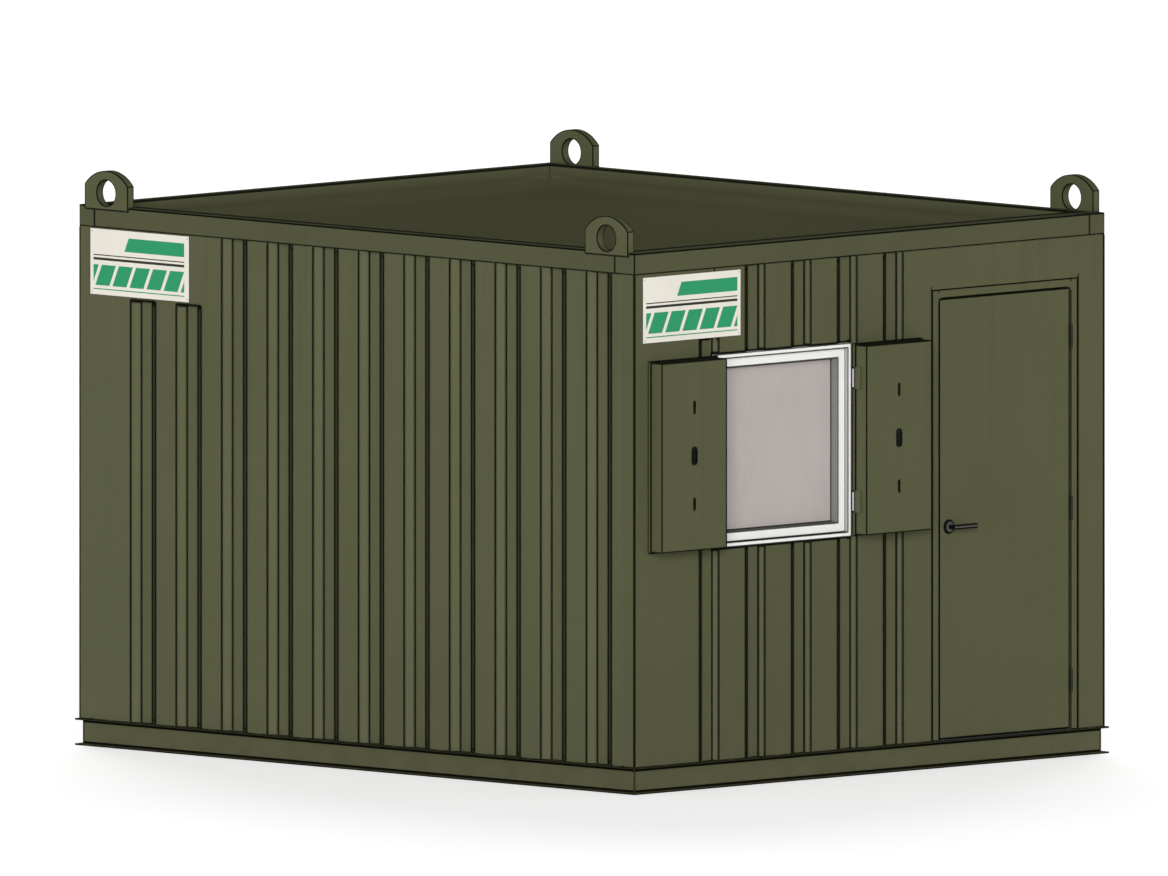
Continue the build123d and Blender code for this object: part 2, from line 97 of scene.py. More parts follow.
def fill(node, **inputs):
    """Gives a node its inputs, each a value or another node's output. i0 is the first of them."""
    for label, value in inputs.items():
        numbered = label[0] == "i" and label[1:].isdigit()
        socket = node.inputs[int(label[1:]) if numbered else label.replace("_", " ")]
        if isinstance(value, bpy.types.NodeSocket):
            node.id_data.links.new(value, socket)
        else:
            socket.default_value = value
    return node


def put(tree, kind, settings=None, **inputs):
    """Adds a shader node with its settings and inputs."""
    node = tree.nodes.new("ShaderNode" + kind)
    for label, value in (settings or {}).items():
        setattr(node, label, value)
    return fill(node, **inputs)


def maths(operation, *values):
    """One step of arithmetic on numbers that change over the surface, in the tree that they are in."""
    tree = next(value for value in values if isinstance(value, bpy.types.NodeSocket)).id_data
    inputs = {"i" + str(number): value for number, value in enumerate(values)}
    return put(tree, "Math", {"operation": operation}, **inputs).outputs[0]


def times(a, b):
    """Two numbers multiplied, which for masks is where both are 1."""
    return maths("MULTIPLY", a, b)


def spread(value, low, high, to_low=0.0, to_high=1.0):
    """Takes value from low..high to to_low..to_high and holds it there outside."""
    node = put(value.id_data, "MapRange", Value=value, From_Min=low, From_Max=high,
               To_Min=to_low, To_Max=to_high)
    return node.outputs["Result"]


ambient_level = 0.27
white = (1, 1, 1, 1)
studio_world = bpy.data.worlds.new("studio_world")
studio_world.use_nodes = True
scene.world = studio_world
tree = studio_world.node_tree
ray = put(tree, "LightPath").outputs
seen = maths("MAXIMUM", ray["Is Camera Ray"], ray["Is Glossy Ray"])
seen = maths("MAXIMUM", seen, ray["Is Transmission Ray"])
fill(tree.nodes["Background"], Color=white, Strength=spread(seen, 0.0, 1.0, ambient_level, 1.0))

lamp_distance = 12
for name, azimuth, elevation, strength, softness in (
    ("lamp_front", view_azimuth, 11, 3.0, 30),
    ("lamp_back", 138, 30, 1.9, 40),
):
    lamp = bpy.data.objects.new(name, bpy.data.lights.new(name, "SUN"))
    scene.collection.objects.link(lamp)
    towards = direction(azimuth, elevation)
    lamp.rotation_euler = towards.to_track_quat("Z", "Y").to_euler()
    lamp.location = towards * lamp_distance
    lamp.data.energy = strength
    lamp.data.angle = math.radians(softness)


def start_fresh():
    """Nothing selected, so that the next operator acts on the new piece alone."""
    bpy.ops.object.select_all(action="DESELECT")


floor_span = 160
floor_below = 0.0005
floor_glow = 0.5
start_fresh()
bpy.ops.mesh.primitive_plane_add(size=floor_span, location=(0, 0, -floor_below))
floor = bpy.context.object
floor.name = "studio_floor"
floor_finish = bpy.data.materials.new("studio_floor")
floor_finish.use_nodes = True
tree = floor_finish.node_tree
on_camera = put(tree, "LightPath").outputs["Is Camera Ray"]
fill(
    tree.nodes["Principled BSDF"], Base_Color=(0.8, 0.8, 0.8, 1), Roughness=1.0, Specular_IOR_Level=0.0,
    Emission_Color=white, Emission_Strength=times(on_camera, floor_glow)
)
floor.data.materials.append(floor_finish)
floor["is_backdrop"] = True


# ---- base frame ----
# Four folded steel channels, open side outwards, mitred and welded at the corners, the wall sheets
# stitch welded along the top flange. It is sprayed with the walls in satin olive enamel over primer.


def new_group(name, inputs, outputs):
    """An empty shader node group, what it is given and what it puts out."""
    group = bpy.data.node_groups.new(name, "ShaderNodeTree")
    for label, kind, value in inputs:
        socket = group.interface.new_socket(label, in_out="INPUT", socket_type="NodeSocket" + kind)
        if value is not None:
            socket.default_value = value
    for label, kind in outputs:
        group.interface.new_socket(label, in_out="OUTPUT", socket_type="NodeSocket" + kind)
    return group, group.nodes.new("NodeGroupInput").outputs, group.nodes.new("NodeGroupOutput")


def place_group(tree, group, **inputs):
    """Puts a node group into a material with its own values, and gives what it puts out."""
    node = tree.nodes.new("ShaderNodeGroup")
    node.node_tree = group
    return fill(node, **inputs).outputs


def new_finish(name):
    """An empty finish: the material, its tree, its shader, and the place that its patterns follow."""
    material = bpy.data.materials.new(name)
    material.use_nodes = True
    tree = material.node_tree
    return material, tree, tree.nodes["Principled BSDF"], put(tree, "TexCoord").outputs["Object"]


def show(shader, colour, rough, lift, strength=0.6, **more):
    """Gives a finish's shader its colour, roughness, raised detail and what more it needs."""
    bump = put(shader.id_data, "Bump", Height=lift, Distance=1.0, Strength=strength)
    fill(shader, Base_Color=colour, Roughness=rough, Normal=bump.outputs[0], **more)


def blend_colour(share, first, second):
    """First colour, with a share of the second."""
    return put(share.id_data, "Mix", {"data_type": "RGBA"}, i0=share, i6=first, i7=second).outputs[2]


def shaded(tone, colour):
    """A colour made darker where tone is under 1, and lighter where it is over."""
    return put(tone.id_data, "HueSaturation", Value=tone, Color=colour).outputs[0]


def noise(place, scale, detail, roughness=0.5):
    """A cloudy pattern between 0 and 1."""
    node = put(place.id_data, "TexNoise", Vector=place, Scale=scale, Detail=detail, Roughness=roughness)
    return node.outputs["Fac"]


def axes(vector):
    """The three parts of a vector."""
    return put(vector.id_data, "SeparateXYZ", Vector=vector).outputs


def facing_of(tree):
    """The three parts of the direction that the surface faces."""
    return axes(put(tree, "NewGeometry").outputs["Normal"])


def size_of(value):
    """A number without its sign."""
    return maths("ABSOLUTE", value)


def from_place(value, at):
    """How far value is from a place on either side of it."""
    return size_of(maths("SUBTRACT", value, at))


def all_but(mask):
    """1 where a mask is 0, and 0 where it is 1."""
    return maths("SUBTRACT", 1.0, mask)


def within(value, middle, half):
    """1 where value is within half of middle."""
    return maths("COMPARE", value, middle, half)


def vector_maths(operation, first, second=(0.0, 0.0, 0.0)):
    """One step of arithmetic on vectors that change over the surface."""
    return put(first.id_data, "VectorMath", {"operation": operation}, i0=first, i1=second).outputs


# The dark line of sealer, shade and dirt along every fold and joint of the steel. Upright is the share
# by which only upright lines are drawn.
edge_line, given, out = new_group(
    "edge_line",
    [("Reach", "Float", 0.01), ("Full", "Float", 0.03), ("Upright", "Float", 0.0)],
    [("Line", "Float"), ("Rounded", "Vector")],
)
rounded = put(edge_line, "Bevel", {"samples": 8}, Radius=given["Reach"]).outputs[0]
in_plan = put(edge_line, "CombineXYZ", X=1.0, Y=1.0, Z=all_but(given["Upright"])).outputs[0]
turned_plan = vector_maths("NORMALIZE", vector_maths("MULTIPLY", rounded, in_plan)[0])[0]
flat = put(edge_line, "NewGeometry").outputs["Normal"]
lean = vector_maths("DISTANCE", turned_plan, flat)["Value"]
fill(out, Line=spread(lean, 0.008, given["Full"]), Rounded=rounded)

# Sprayed enamel: slightly uneven colour and gloss, orange peel, and the gentle waves of thin sheet.
enamel_film, given, out = new_group(
    "enamel_film",
    [("Place", "Vector", None), ("Colour", "Color", white), ("Unevenness", "Float", 0.1)],
    [("Colour", "Color"), ("Roughness", "Float"), ("Height", "Float")],
)
place = given["Place"]
clouds = noise(place, 1.1, 4.0, 0.55)
brush = noise(place, 14.0, 3.0)
peel = noise(place, 420.0, 1.0)
tone = maths("SUBTRACT", clouds, 0.62)
tone = maths("MULTIPLY_ADD", brush, 0.25, tone)
tone = times(tone, given["Unevenness"])
lighter = maths("MULTIPLY_ADD", tone, 2.0, 1.0)
lift = maths("MULTIPLY_ADD", peel, 0.00006, times(clouds, 0.0012))
fill(out, Colour=shaded(lighter, given["Colour"]), Roughness=spread(brush, 0.3, 0.7, 0.42, 0.55), Height=lift)

# What weather and site traffic leave: dust splashed up from the ground, faint runs below the eaves,
# and a darker tone on ledges, which is settled grime and painted shade on the tops.
runs_start = 2.4
site_weather, given, out = new_group(
    "site_weather",
    [("Place", "Vector", None), ("Splash", "Float", 0.5)],
    [("Dust", "Float"), ("Runs", "Float"), ("Ledge", "Float")],
)
place = given["Place"]
height = axes(place)["Z"]
specks = noise(place, 9.0, 6.0, 0.65)
low_down = spread(maths("DIVIDE", height, given["Splash"]), 0.0, 1.0, 1.0, 0.0)
low_down = maths("POWER", low_down, 1.8)
dust = times(low_down, spread(specks, 0.35, 0.7))
stretched = put(site_weather, "Mapping", Vector=place, Scale=(26.0, 26.0, 0.7)).outputs[0]
run_marks = spread(noise(stretched, 1.0, 3.0), 0.52, 0.72)
fading = spread(maths("SUBTRACT", runs_start, height), 0.0, 1.5, 1.0, 0.15)
level = spread(facing_of(site_weather)["Z"], 0.6, 0.9)
fill(out, Dust=dust, Runs=times(run_marks, fading), Ledge=times(level, spread(specks, 0.2, 0.5, 0.75, 1.0)))

# Lines are left out where two plates are one sheet in the real wall, or are welded and ground flush.
join_reach = 0.016
ground_join, given, out = new_group(
    "ground_join",
    [(label, "Float", 0.0) for label in ("Across", "Join", "Along", "From", "To")],
    [("Mask", "Float")],
)
after = maths("GREATER_THAN", given["Along"], given["From"])
before = maths("LESS_THAN", given["Along"], given["To"])
beside = within(given["Across"], given["Join"], join_reach)
fill(out, Mask=times(beside, times(after, before)))

olive = (0.089, 0.0925, 0.0465, 1)
dust_colour = (0.19, 0.168, 0.118, 1)
run_colour = (0.05, 0.05, 0.034, 1)
line_colour = (0.006, 0.006, 0.0045, 1)
grime_and_shade_colour = (0.018, 0.018, 0.012, 1)
lap_shade_colour = (0.011, 0.011, 0.009, 1)
line_reach = 0.0145
slope_reach = 0.0205
# Painted shade on one slope of each groove: the reach of its broader line, of the deeper line that leans that
# way, and its share of the dark colour.
shade_slope_reach = 0.036
deep_reach = 0.0185
deep_lean = 0.004
shade_slope_share = 0.55


def over_plan(parts, box, spare):
    """1 within a box's plan, and within spare beyond it."""
    mask = 1.0
    for axis, low, high in zip("XY", *box):
        mask = times(mask, within(parts[axis], (low + high) / 2, (high - low) / 2 + spare))
    return mask


def enamel_lines(tree, parts, facing, width, joins, folds, butts, shade_slope, covered, line_floor):
    """Where the enamel's dark lines are, as enamel describes them."""
    butted = 0.0
    for height in butts:
        butted = maths("MAXIMUM", butted, within(parts["Z"], height, line_reach))
    line = place_group(tree, edge_line, Reach=width, Upright=butted)["Line"]
    # The slopes turned that way get a broader dark line too, painted shade.
    if shade_slope:
        axis, end = shade_slope
        deep = place_group(tree, edge_line, Reach=deep_reach, Upright=butted)
        leaning = maths("GREATER_THAN", axes(deep["Rounded"])[axis], deep_lean)
        leaning = times(leaning, maths("LESS_THAN", parts[axis], end))
        line = maths("MAXIMUM", line, times(leaning, deep["Line"]))
    under = maths("LESS_THAN", parts["Z"], line_floor)
    line = times(line, all_but(times(under, covered)))
    for axis, at, along, start, end in joins:
        mask = place_group(tree, ground_join, Across=parts[axis], Join=at, Along=parts[along],
                           From=start, To=end)["Mask"]
        line = times(line, all_but(mask))
    for axis, at, half in folds:
        across = maths("LESS_THAN", size_of(facing[axis]), 0.7)
        across = maths("SUBTRACT", across, times(across, covered))
        line = maths("MAXIMUM", line, times(within(parts[axis], at, half), across))
    return line


def enamel(name, colour=olive, reach=line_reach, uneven=0.1, splash=0.5, dusty=0.3, runs=0.2, ledges=0.35,
           joins=(), folds=(), butts=(), shade_slope=None, inside=None, inner_shaded_colours=None, lap=0.0, line_floor=0.0,
           light_bands=(), coat=0.16):
    """The cabin's enamel. joins are flush joins (axis, place, other axis, from, to), folds are lines
    (axis, place, half width), and butts are heights where only upright lines are drawn. The shaded-slope
    argument gives the axis along which one slope of each groove is darkened with painted shade and drawn
    with a broader line, and where the grooves end. inside is the box of a tray: faces towards it and faces
    turned up take painted shade, from the first of the inner colours, low down, to the second, without
    lines below line_floor, and a dark lap of painted shade lies on the level faces round it. The bands of
    painted light along the tray's edges, which lift the shadow that the ring casts, are each
    (axis, place, peak, end, colour)."""
    material, tree, shader, place = new_finish(name)
    parts = axes(place)
    facing = facing_of(tree)
    base = colour
    covered = 0.0
    # Faces turned up or towards the tray take a darker tone, painted shade, that grows lighter up the ring's
    # inner faces.
    if inside:
        covered = maths("GREATER_THAN", facing["Z"], 0.3)
        covered = maths("MAXIMUM", covered, over_plan(parts, inside, 0.0004))
        up = spread(parts["Z"], inside[1].z, line_floor + 0.03)
        base = blend_colour(covered, colour, blend_colour(up, *inner_shaded_colours))
        # The level faces round the tray get a dark lap, painted shade on the ring's top.
        level = maths("GREATER_THAN", facing["Z"], 0.9)
        dark_band = times(level, over_plan(parts, inside, lap))
        base = blend_colour(dark_band, base, lap_shade_colour)
    # Bands of painted light along the tray's edges, lifting the shadow that the ring casts on the sheet.
    for axis, at, peak, end, tint in light_bands:
        away = from_place(parts[axis], at)
        lit_band = spread(away, peak, end, 1.0, 0.0)
        lit_band = times(times(lit_band, lit_band), spread(away, 0.0, peak))
        base = blend_colour(lit_band, base, tint)
    film = place_group(tree, enamel_film, Place=place, Colour=base, Unevenness=uneven)
    weather = place_group(tree, site_weather, Place=place, Splash=splash)
    result = film["Colour"]
    for mask, share, tint in (
        ("Runs", runs, run_colour), ("Ledge", ledges, grime_and_shade_colour), ("Dust", dusty, dust_colour)
    ):
        result = blend_colour(times(weather[mask], share), result, tint)
    clean = all_but(maths("MAXIMUM", weather["Dust"], weather["Ledge"]))
    line_width = reach
    # One slope of each groove is darkened as painted shade, and its line is broader.
    if shade_slope:
        skewed = spread(size_of(times(facing["X"], facing["Y"])), 0.1, 0.2)
        shaded_side = times(maths("GREATER_THAN", facing[shade_slope[0]], 0.1), skewed)
        result = blend_colour(times(shaded_side, shade_slope_share), result, grime_and_shade_colour)
        sloping = spread(skewed, 0.0, 1.0, reach, slope_reach)
        line_width = spread(shaded_side, 0.0, 1.0, sloping, shade_slope_reach)
    if reach:
        line = enamel_lines(tree, parts, facing, line_width, joins, folds, butts, shade_slope, covered, line_floor)
        result = blend_colour(line, result, line_colour)
        clean = times(clean, all_but(line))
    rough = maths("MULTIPLY_ADD", weather["Dust"], 0.3, film["Roughness"])
    glossy = times(spread(size_of(facing["Z"]), 0.2, 0.6, coat, 0.0), clean) if coat else 0.0
    show(shader, result, rough, film["Height"], Specular_IOR_Level=0.0, Coat_Roughness=0.28,
         Coat_Weight=glossy)
    return material


def give(material, *nodes):
    """A finish for CAD nodes, which keep their shape."""
    for node in nodes:
        mesh = frame["nodes"][node].data
        mesh.materials.clear()
        mesh.materials.append(material)


def take(*pieces):
    """Selects these pieces alone, the first of them active."""
    start_fresh()
    for piece in pieces:
        piece.select_set(True)
    bpy.context.view_layer.objects.active = pieces[0]


def settle(name):
    """Names the newest piece, and puts its place, turn and size into its mesh."""
    piece = bpy.context.object
    piece.name = name
    piece.data.name = name
    bpy.ops.object.transform_apply(location=True, rotation=True, scale=True)
    return piece


def shape(piece, kind, **settings):
    """Adds a modifier to a piece and applies it."""
    take(piece)
    modifier = piece.modifiers.new(kind.lower(), kind)
    for label, value in settings.items():
        setattr(modifier, label, value)
    bpy.ops.object.modifier_apply(modifier=modifier.name)
    return piece


def joined(name, pieces):
    """Several pieces made one."""
    take(*pieces)
    bpy.ops.object.join()
    return settle(name)


def fit(piece, material, body):
    """Gives a finished piece its finish and the body it moves with."""
    piece.data.materials.clear()
    piece.data.materials.append(material)
    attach(piece, body)


def soften(piece, angle):
    """Smooth faces, with the edges sharper than the angle kept crisp."""
    take(piece)
    bpy.ops.object.shade_smooth_by_angle(angle=math.radians(angle))
    return piece


def weld(start, end, size):
    """A weld bead between two points: flat drops of metal, each laid half over the one before."""
    run = end - start
    along = Vector([abs(part) for part in run.normalized()])
    start_fresh()
    bpy.ops.mesh.primitive_uv_sphere_add(
        segments=8, ring_count=6, radius=size, location=start, scale=Vector((1, 1, 1)) - along * 0.3
    )
    bead = settle("bead")
    drops = max(2, int(run.length / (size * 0.7)) + 1)
    shape(bead, "ARRAY", count=drops, use_relative_offset=False, use_constant_offset=True,
          constant_offset_displace=run / (drops - 1))
    return soften(bead, 60)


base_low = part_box("base_beam_front")[0]
base_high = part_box("base_beam_back")[1]
flange = 0.008
overlap = 0.0005
flange_edges = []
for axis, *ends in zip("XY", base_low, base_high):
    for end in ends:
        flange_edges.append((axis, end, "Z", base_high.z - flange - overlap, base_high.z + 2 * overlap))
        flange_edges.append((axis, end, "Z", flange * 0.4, flange + overlap))
web_line = 0.0058
flange_line = 0.0036
base_folds = [
    ("Z", base_high.z, flange_line), ("Z", base_high.z - flange, flange_line),
    ("Z", base_high.z - flange - web_line, web_line), ("Z", flange + web_line * 0.8, web_line),
    ("Z", 0.0, flange * 0.7),
]
give(
    enamel("base_frame_enamel", reach=0.0065, splash=0.3, joins=flange_edges, folds=base_folds),
    "base_beam_front", "base_beam_back", "base_beam_left", "base_beam_right",
)
weld_enamel = enamel("weld_enamel", colour=(0.035, 0.036, 0.02, 1), reach=0, dusty=0.2, runs=0.0)

left_low, left_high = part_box("wall_left")
wall_near = Vector((left_low.x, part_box("front_wall_left")[0].y, left_low.z))
wall_far = Vector((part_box("wall_right")[1].x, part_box("wall_back")[1].y, left_high.z))
web_inset = 0.014
corner_bead = 0.003
beads = []
for x in (wall_near.x + web_inset, wall_far.x - web_inset):
    for y in (wall_near.y + web_inset, wall_far.y - web_inset):
        beads.append(weld(Vector((x, y, flange)), Vector((x, y, base_high.z - flange)), corner_bead))
fit(joined("base_corner_welds", beads), weld_enamel, "cabin")

stitch = 0.04
stitch_bead = 0.0035
tolerance = 0.0005
x_axis = 0
y_axis = 1


def foot_stitches(node, along, plane):
    """One stitch weld in the middle of each plain strip between the grooves at a wall sheet's foot."""
    across = 1 - along
    on_edge = [
        v.co[along] for v in frame["nodes"][node].data.vertices
        if abs(v.co.z - wall_near.z) < tolerance and abs(v.co[across] - plane) < tolerance
    ]
    marks = sorted({round(mark, 4) for mark in on_edge})
    made = []
    for low, high in zip(marks[0::2], marks[1::2]):
        if high - low > 1.5 * stitch:
            ends = []
            for mark in ((low + high - stitch) / 2, (low + high + stitch) / 2):
                end = Vector((plane, plane, wall_near.z))
                end[along] = mark
                ends.append(end)
            made.append(weld(*ends, stitch_bead))
    return made


stitches = foot_stitches("wall_left", y_axis, wall_near.x) + foot_stitches("wall_right", y_axis, wall_far.x)
stitches += foot_stitches("wall_back", x_axis, wall_far.y)
for node in ("front_wall_left", "front_wall_under_window", "front_wall_middle", "front_wall_right"):
    stitches += foot_stitches(node, x_axis, wall_near.y)
fit(joined("wall_foot_welds", stitches), weld_enamel, "cabin")


# ---- floor ----
# Cold rolled joists across the frame, held to it by bolted angle cleats, and a deck of film-faced
# plywood screwed down on them.

to_right = Vector((1, 0, 0))
to_back = Vector((0, 1, 0))
upwards = Vector((0, 0, 1))


def new_block(low, high):
    """A plain block between two corners, to be shaped further."""
    start_fresh()
    bpy.ops.mesh.primitive_cube_add(size=1, location=(low + high) / 2, scale=high - low)
    return settle("block")


def open_up(piece, wanted):
    """Edit mode with the faces selected that wanted(middle, normal) names."""
    take(piece)
    bpy.ops.object.mode_set(mode="EDIT")
    bpy.ops.mesh.select_mode(type="FACE")
    bpy.ops.mesh.select_all(action="DESELECT")
    shell = bmesh.from_edit_mesh(piece.data)
    for face in shell.faces:
        face.select_set(bool(wanted(face.calc_center_median(), face.normal)))
    bmesh.update_edit_mesh(piece.data)


def close_up(piece):
    """Back out of edit mode."""
    bpy.ops.object.mode_set(mode="OBJECT")
    return piece


def cut(piece, at, out, **how):
    """Cuts all faces of a piece by the plane through at that faces out."""
    open_up(piece, lambda middle, normal: True)
    bpy.ops.mesh.bisect(plane_co=at, plane_no=out, **how)
    return close_up(piece)


def bevel_end(piece, out, width, segments):
    """Rounds the edges of the end that faces out."""
    open_up(piece, lambda middle, normal: normal.dot(out) > 0.9)
    bpy.ops.mesh.bevel(offset=width, segments=segments, affect="EDGES")
    return close_up(piece)


def round_over(piece, width):
    """Rounds a piece's sharp edges."""
    shape(piece, "BEVEL", width=width, segments=2, limit_method="ANGLE",
          angle_limit=math.radians(40), harden_normals=False)
    return soften(piece, 40)


def turned(centre, out, radius, depth, sides=24):
    """A plain round or many-sided bar, from centre in the direction out."""
    start_fresh()
    bpy.ops.mesh.primitive_cylinder_add(
        vertices=sides, radius=radius, depth=depth, location=centre + out * depth / 2,
        rotation=out.to_track_quat("Z", "Y").to_euler()
    )
    return settle("bar")


def hex_bolt(centre, out, size):
    """A bolt head on its washer, standing on a surface."""
    washer = round_over(turned(centre, out, size * 1.05, size * 0.2), size * 0.04)
    head = turned(centre + out * size * 0.2, out, size * 0.87, size * 0.6, sides=6)
    top = centre + out * size * 0.8
    open_up(head, lambda middle, normal: (middle - top).length < size * 0.1)
    bpy.ops.mesh.inset(thickness=size * 0.1, depth=size * 0.05)
    close_up(head)
    round_over(head, size * 0.05)
    return joined("bolt", [washer, head])


def copied(piece, place):
    """Another of the same piece, with its own mesh, moved by a matrix."""
    twin = piece.copy()
    twin.data = piece.data.copy()
    scene.collection.objects.link(twin)
    twin.data.transform(place)
    return twin


# Rolled or plated steel: fine streaks one way, a broken crystal pattern and slightly uneven gloss.
bare_steel, given, out = new_group(
    "bare_steel",
    [("Place", "Vector", None), ("Colour", "Color", white), ("Spangle", "Float", 0.5),
     ("Gloss", "Float", 0.35)],
    [("Colour", "Color"), ("Roughness", "Float"), ("Height", "Float")],
)
place = given["Place"]
crystals = put(bare_steel, "TexVoronoi", Vector=place, Scale=75.0).outputs["Color"]
crystal_tone = maths("SUBTRACT", axes(crystals)["X"], 0.5)
crystal_tone = times(times(crystal_tone, given["Spangle"]), 0.35)
drawn = put(bare_steel, "Mapping", Vector=place, Scale=(4.0, 160.0, 160.0)).outputs[0]
streak = noise(drawn, 1.0, 3.0)
smudge = noise(place, 11.0, 4.0)
tone = maths("ADD", maths("MULTIPLY_ADD", streak, 0.3, crystal_tone), 0.75)
tone = maths("MULTIPLY_ADD", smudge, 0.2, tone)
rough = maths("MULTIPLY_ADD", smudge, 0.25, maths("SUBTRACT", given["Gloss"], 0.12))
fill(out, Colour=shaded(tone, given["Colour"]), Roughness=rough, Height=times(streak, 0.00003))


def steel(name, colour, metal, spangle, gloss):
    """Bare or plated steel."""
    material, tree, shader, place = new_finish(name)
    skin = place_group(tree, bare_steel, Place=place, Colour=colour, Spangle=spangle, Gloss=gloss)
    show(shader, skin["Colour"], skin["Roughness"], skin["Height"], 0.5, Metallic=metal)
    return material


joist_zinc = steel("joist_zinc", (0.42, 0.43, 0.44, 1), metal=0.7, spangle=0.9, gloss=0.45)
give(joist_zinc, "floor_joists")

joist_low, joist_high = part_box("floor_joists")
joist_ends = sorted({round(v.co.y, 4) for v in frame["nodes"]["floor_joists"].data.vertices})
cleat_leg = 0.048
cleat_plate = 0.006
cleat_edge = 0.008
cleat_rounding = 0.0012
bolt_size = 0.009
bolt_along = cleat_leg * 0.6
face = Vector((joist_low.x, joist_ends[1], joist_low.z + cleat_edge))
cleat_height = joist_high.z - joist_low.z - 2 * cleat_edge
cleat = new_block(face, face + Vector((cleat_leg, cleat_plate, cleat_height)))
bend = face + Vector((cleat_plate, 0, 0))
cut(cleat, bend, to_right)
open_up(cleat, lambda middle, normal: normal.y > 0.9 and middle.x < bend.x)
bpy.ops.mesh.extrude_region_move(TRANSFORM_OT_translate={"value": (0, cleat_leg - cleat_plate, 0)})
close_up(cleat)
round_over(cleat, cleat_rounding)
middle_z = (joist_low.z + joist_high.z) / 2
bolts = [
    hex_bolt(Vector((face.x + bolt_along, face.y + cleat_plate, middle_z)), to_back, bolt_size),
    hex_bolt(Vector((face.x + cleat_plate, face.y + bolt_along, middle_z)), to_right, bolt_size),
]
cleat = joined("cleat", [cleat] + bolts)
cleats = []
middle_x = (joist_low.x + joist_high.x) / 2
for low, high in zip(joist_ends[0::2], joist_ends[1::2]):
    cleats.append(copied(cleat, Matrix.Translation((0, high - joist_ends[1], 0))))
    centre = Matrix.Translation((middle_x, (low + high) / 2, 0))
    cleats.append(copied(cleats[-1], centre @ Matrix.Rotation(math.pi, 4, "Z") @ centre.inverted()))
bpy.data.objects.remove(cleat)
fit(joined("joist_cleats", cleats), joist_zinc, "cabin")


def toned(pattern, colour, darkest, lightest):
    """A colour made a little darker and lighter by a cloudy pattern."""
    return shaded(spread(pattern, 0.3, 0.7, darkest, lightest), colour)


# The deck's phenolic film is pressed with a fine mesh, and is scuffed by boots inside the door.
film_brown = (0.07, 0.042, 0.026, 1)
scuff_grey = (0.21, 0.19, 0.165, 1)
joint_black = (0.012, 0.01, 0.008, 1)
board_length = 1.22
scuffed_from = wall_near.y + 0.2
scuffed_to = wall_near.y + 1.8
deck_finish, tree, shader, place = new_finish("deck_film")
inwards = axes(place)["Y"]
by_door = spread(inwards, scuffed_from, scuffed_to, 0.75, 0.25)
wear_and_highlight = times(spread(noise(place, 16.0, 8.0, 0.75), 0.5, 0.72), by_door)
result = toned(noise(place, 2.2, 3.0), film_brown, 0.85, 1.15)
result = blend_colour(wear_and_highlight, result, scuff_grey)
boards = maths("DIVIDE", maths("SUBTRACT", inwards, wall_near.y), board_length)
result = blend_colour(within(maths("FRACT", boards), 0.5, 0.0016), result, joint_black)
bands = {"wave_type": "BANDS", "bands_direction": "DIAGONAL"}
mesh_print = put(tree, "TexWave", bands, Vector=place, Scale=110.0).outputs["Fac"]
lift = times(mesh_print, 0.00015)
show(shader, result, spread(wear_and_highlight, 0.0, 1.0, 0.38, 0.7), lift)
give(deck_finish, "floor_deck")


# ---- walls ----
# Insulated panels skinned in pressed steel sheet, one sheet to each long wall. Joints between sheets
# are stitch welded, filled and ground flush before the enamel goes on.

side_olive = (0.094, 0.0985, 0.051, 1)
window_low, window_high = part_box("window_frame")
under_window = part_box("front_wall_under_window")
over_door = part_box("front_wall_over_door")
window_sides = (under_window[0].x, under_window[1].x)
door_sides = (over_door[0].x, over_door[1].x)
door_top = over_door[0].z
foot = wall_near.z + line_reach * 0.4
eaves = wall_far.z + 0.003
side_joins = [("Y", end.y, "Z", foot, eaves) for end in (left_low, left_high)]
front_joins = [("Z", door_top, "X", *door_sides)]
for x in window_sides:
    front_joins.append(("X", x, "Z", foot, window_low.z - line_reach))
    front_joins.append(("X", x, "Z", window_high.z + line_reach, eaves))
for x in door_sides:
    front_joins.append(("X", x, "Z", door_top + line_reach, eaves))
front_nodes = [
    "front_wall_left", "front_wall_under_window", "front_wall_over_window", "front_wall_middle",
    "front_wall_over_door", "front_wall_right",
]

# The grooves' folds that lie beside a flush joint keep their lines, and so do the far corners.
fold_half = 0.0042
corner_half = 0.0065
foot_fold = ("Z", wall_near.z, 0.003)
front_folds = [("X", wall_far.x - corner_half, corner_half), foot_fold]
side_folds = [("Y", wall_far.y - corner_half, corner_half), foot_fold]
butts = (wall_near.z, wall_far.z)
for x in window_sides:
    inner_folds = {
        round(v.co.x, 4) for node in front_nodes for v in frame["nodes"][node].data.vertices
        if 0.01 < v.co.y - wall_near.y < 0.03 and 0.001 < abs(v.co.x - x) < join_reach
    }
    front_folds += [("X", fold, fold_half) for fold in sorted(inner_folds)]
give(
    enamel("side_wall_enamel", side_olive, joins=side_joins, folds=side_folds, butts=butts,
           shade_slope=("Y", wall_far.y)),
    "wall_left", "wall_right",
)
give(
    enamel("back_wall_enamel", side_olive, joins=side_joins, folds=[foot_fold], butts=butts,
           shade_slope=("X", wall_far.x)),
    "wall_back",
)
give(
    enamel("front_wall_enamel", joins=side_joins + front_joins, folds=front_folds, butts=butts,
           shade_slope=("X", door_sides[0] - line_reach)),
    *front_nodes,
)


# ---- linings and ceiling ----
# White faced boards on the inside of the panels and under the roof, their joints covered by narrow
# strips. Nothing else is fixed to them.

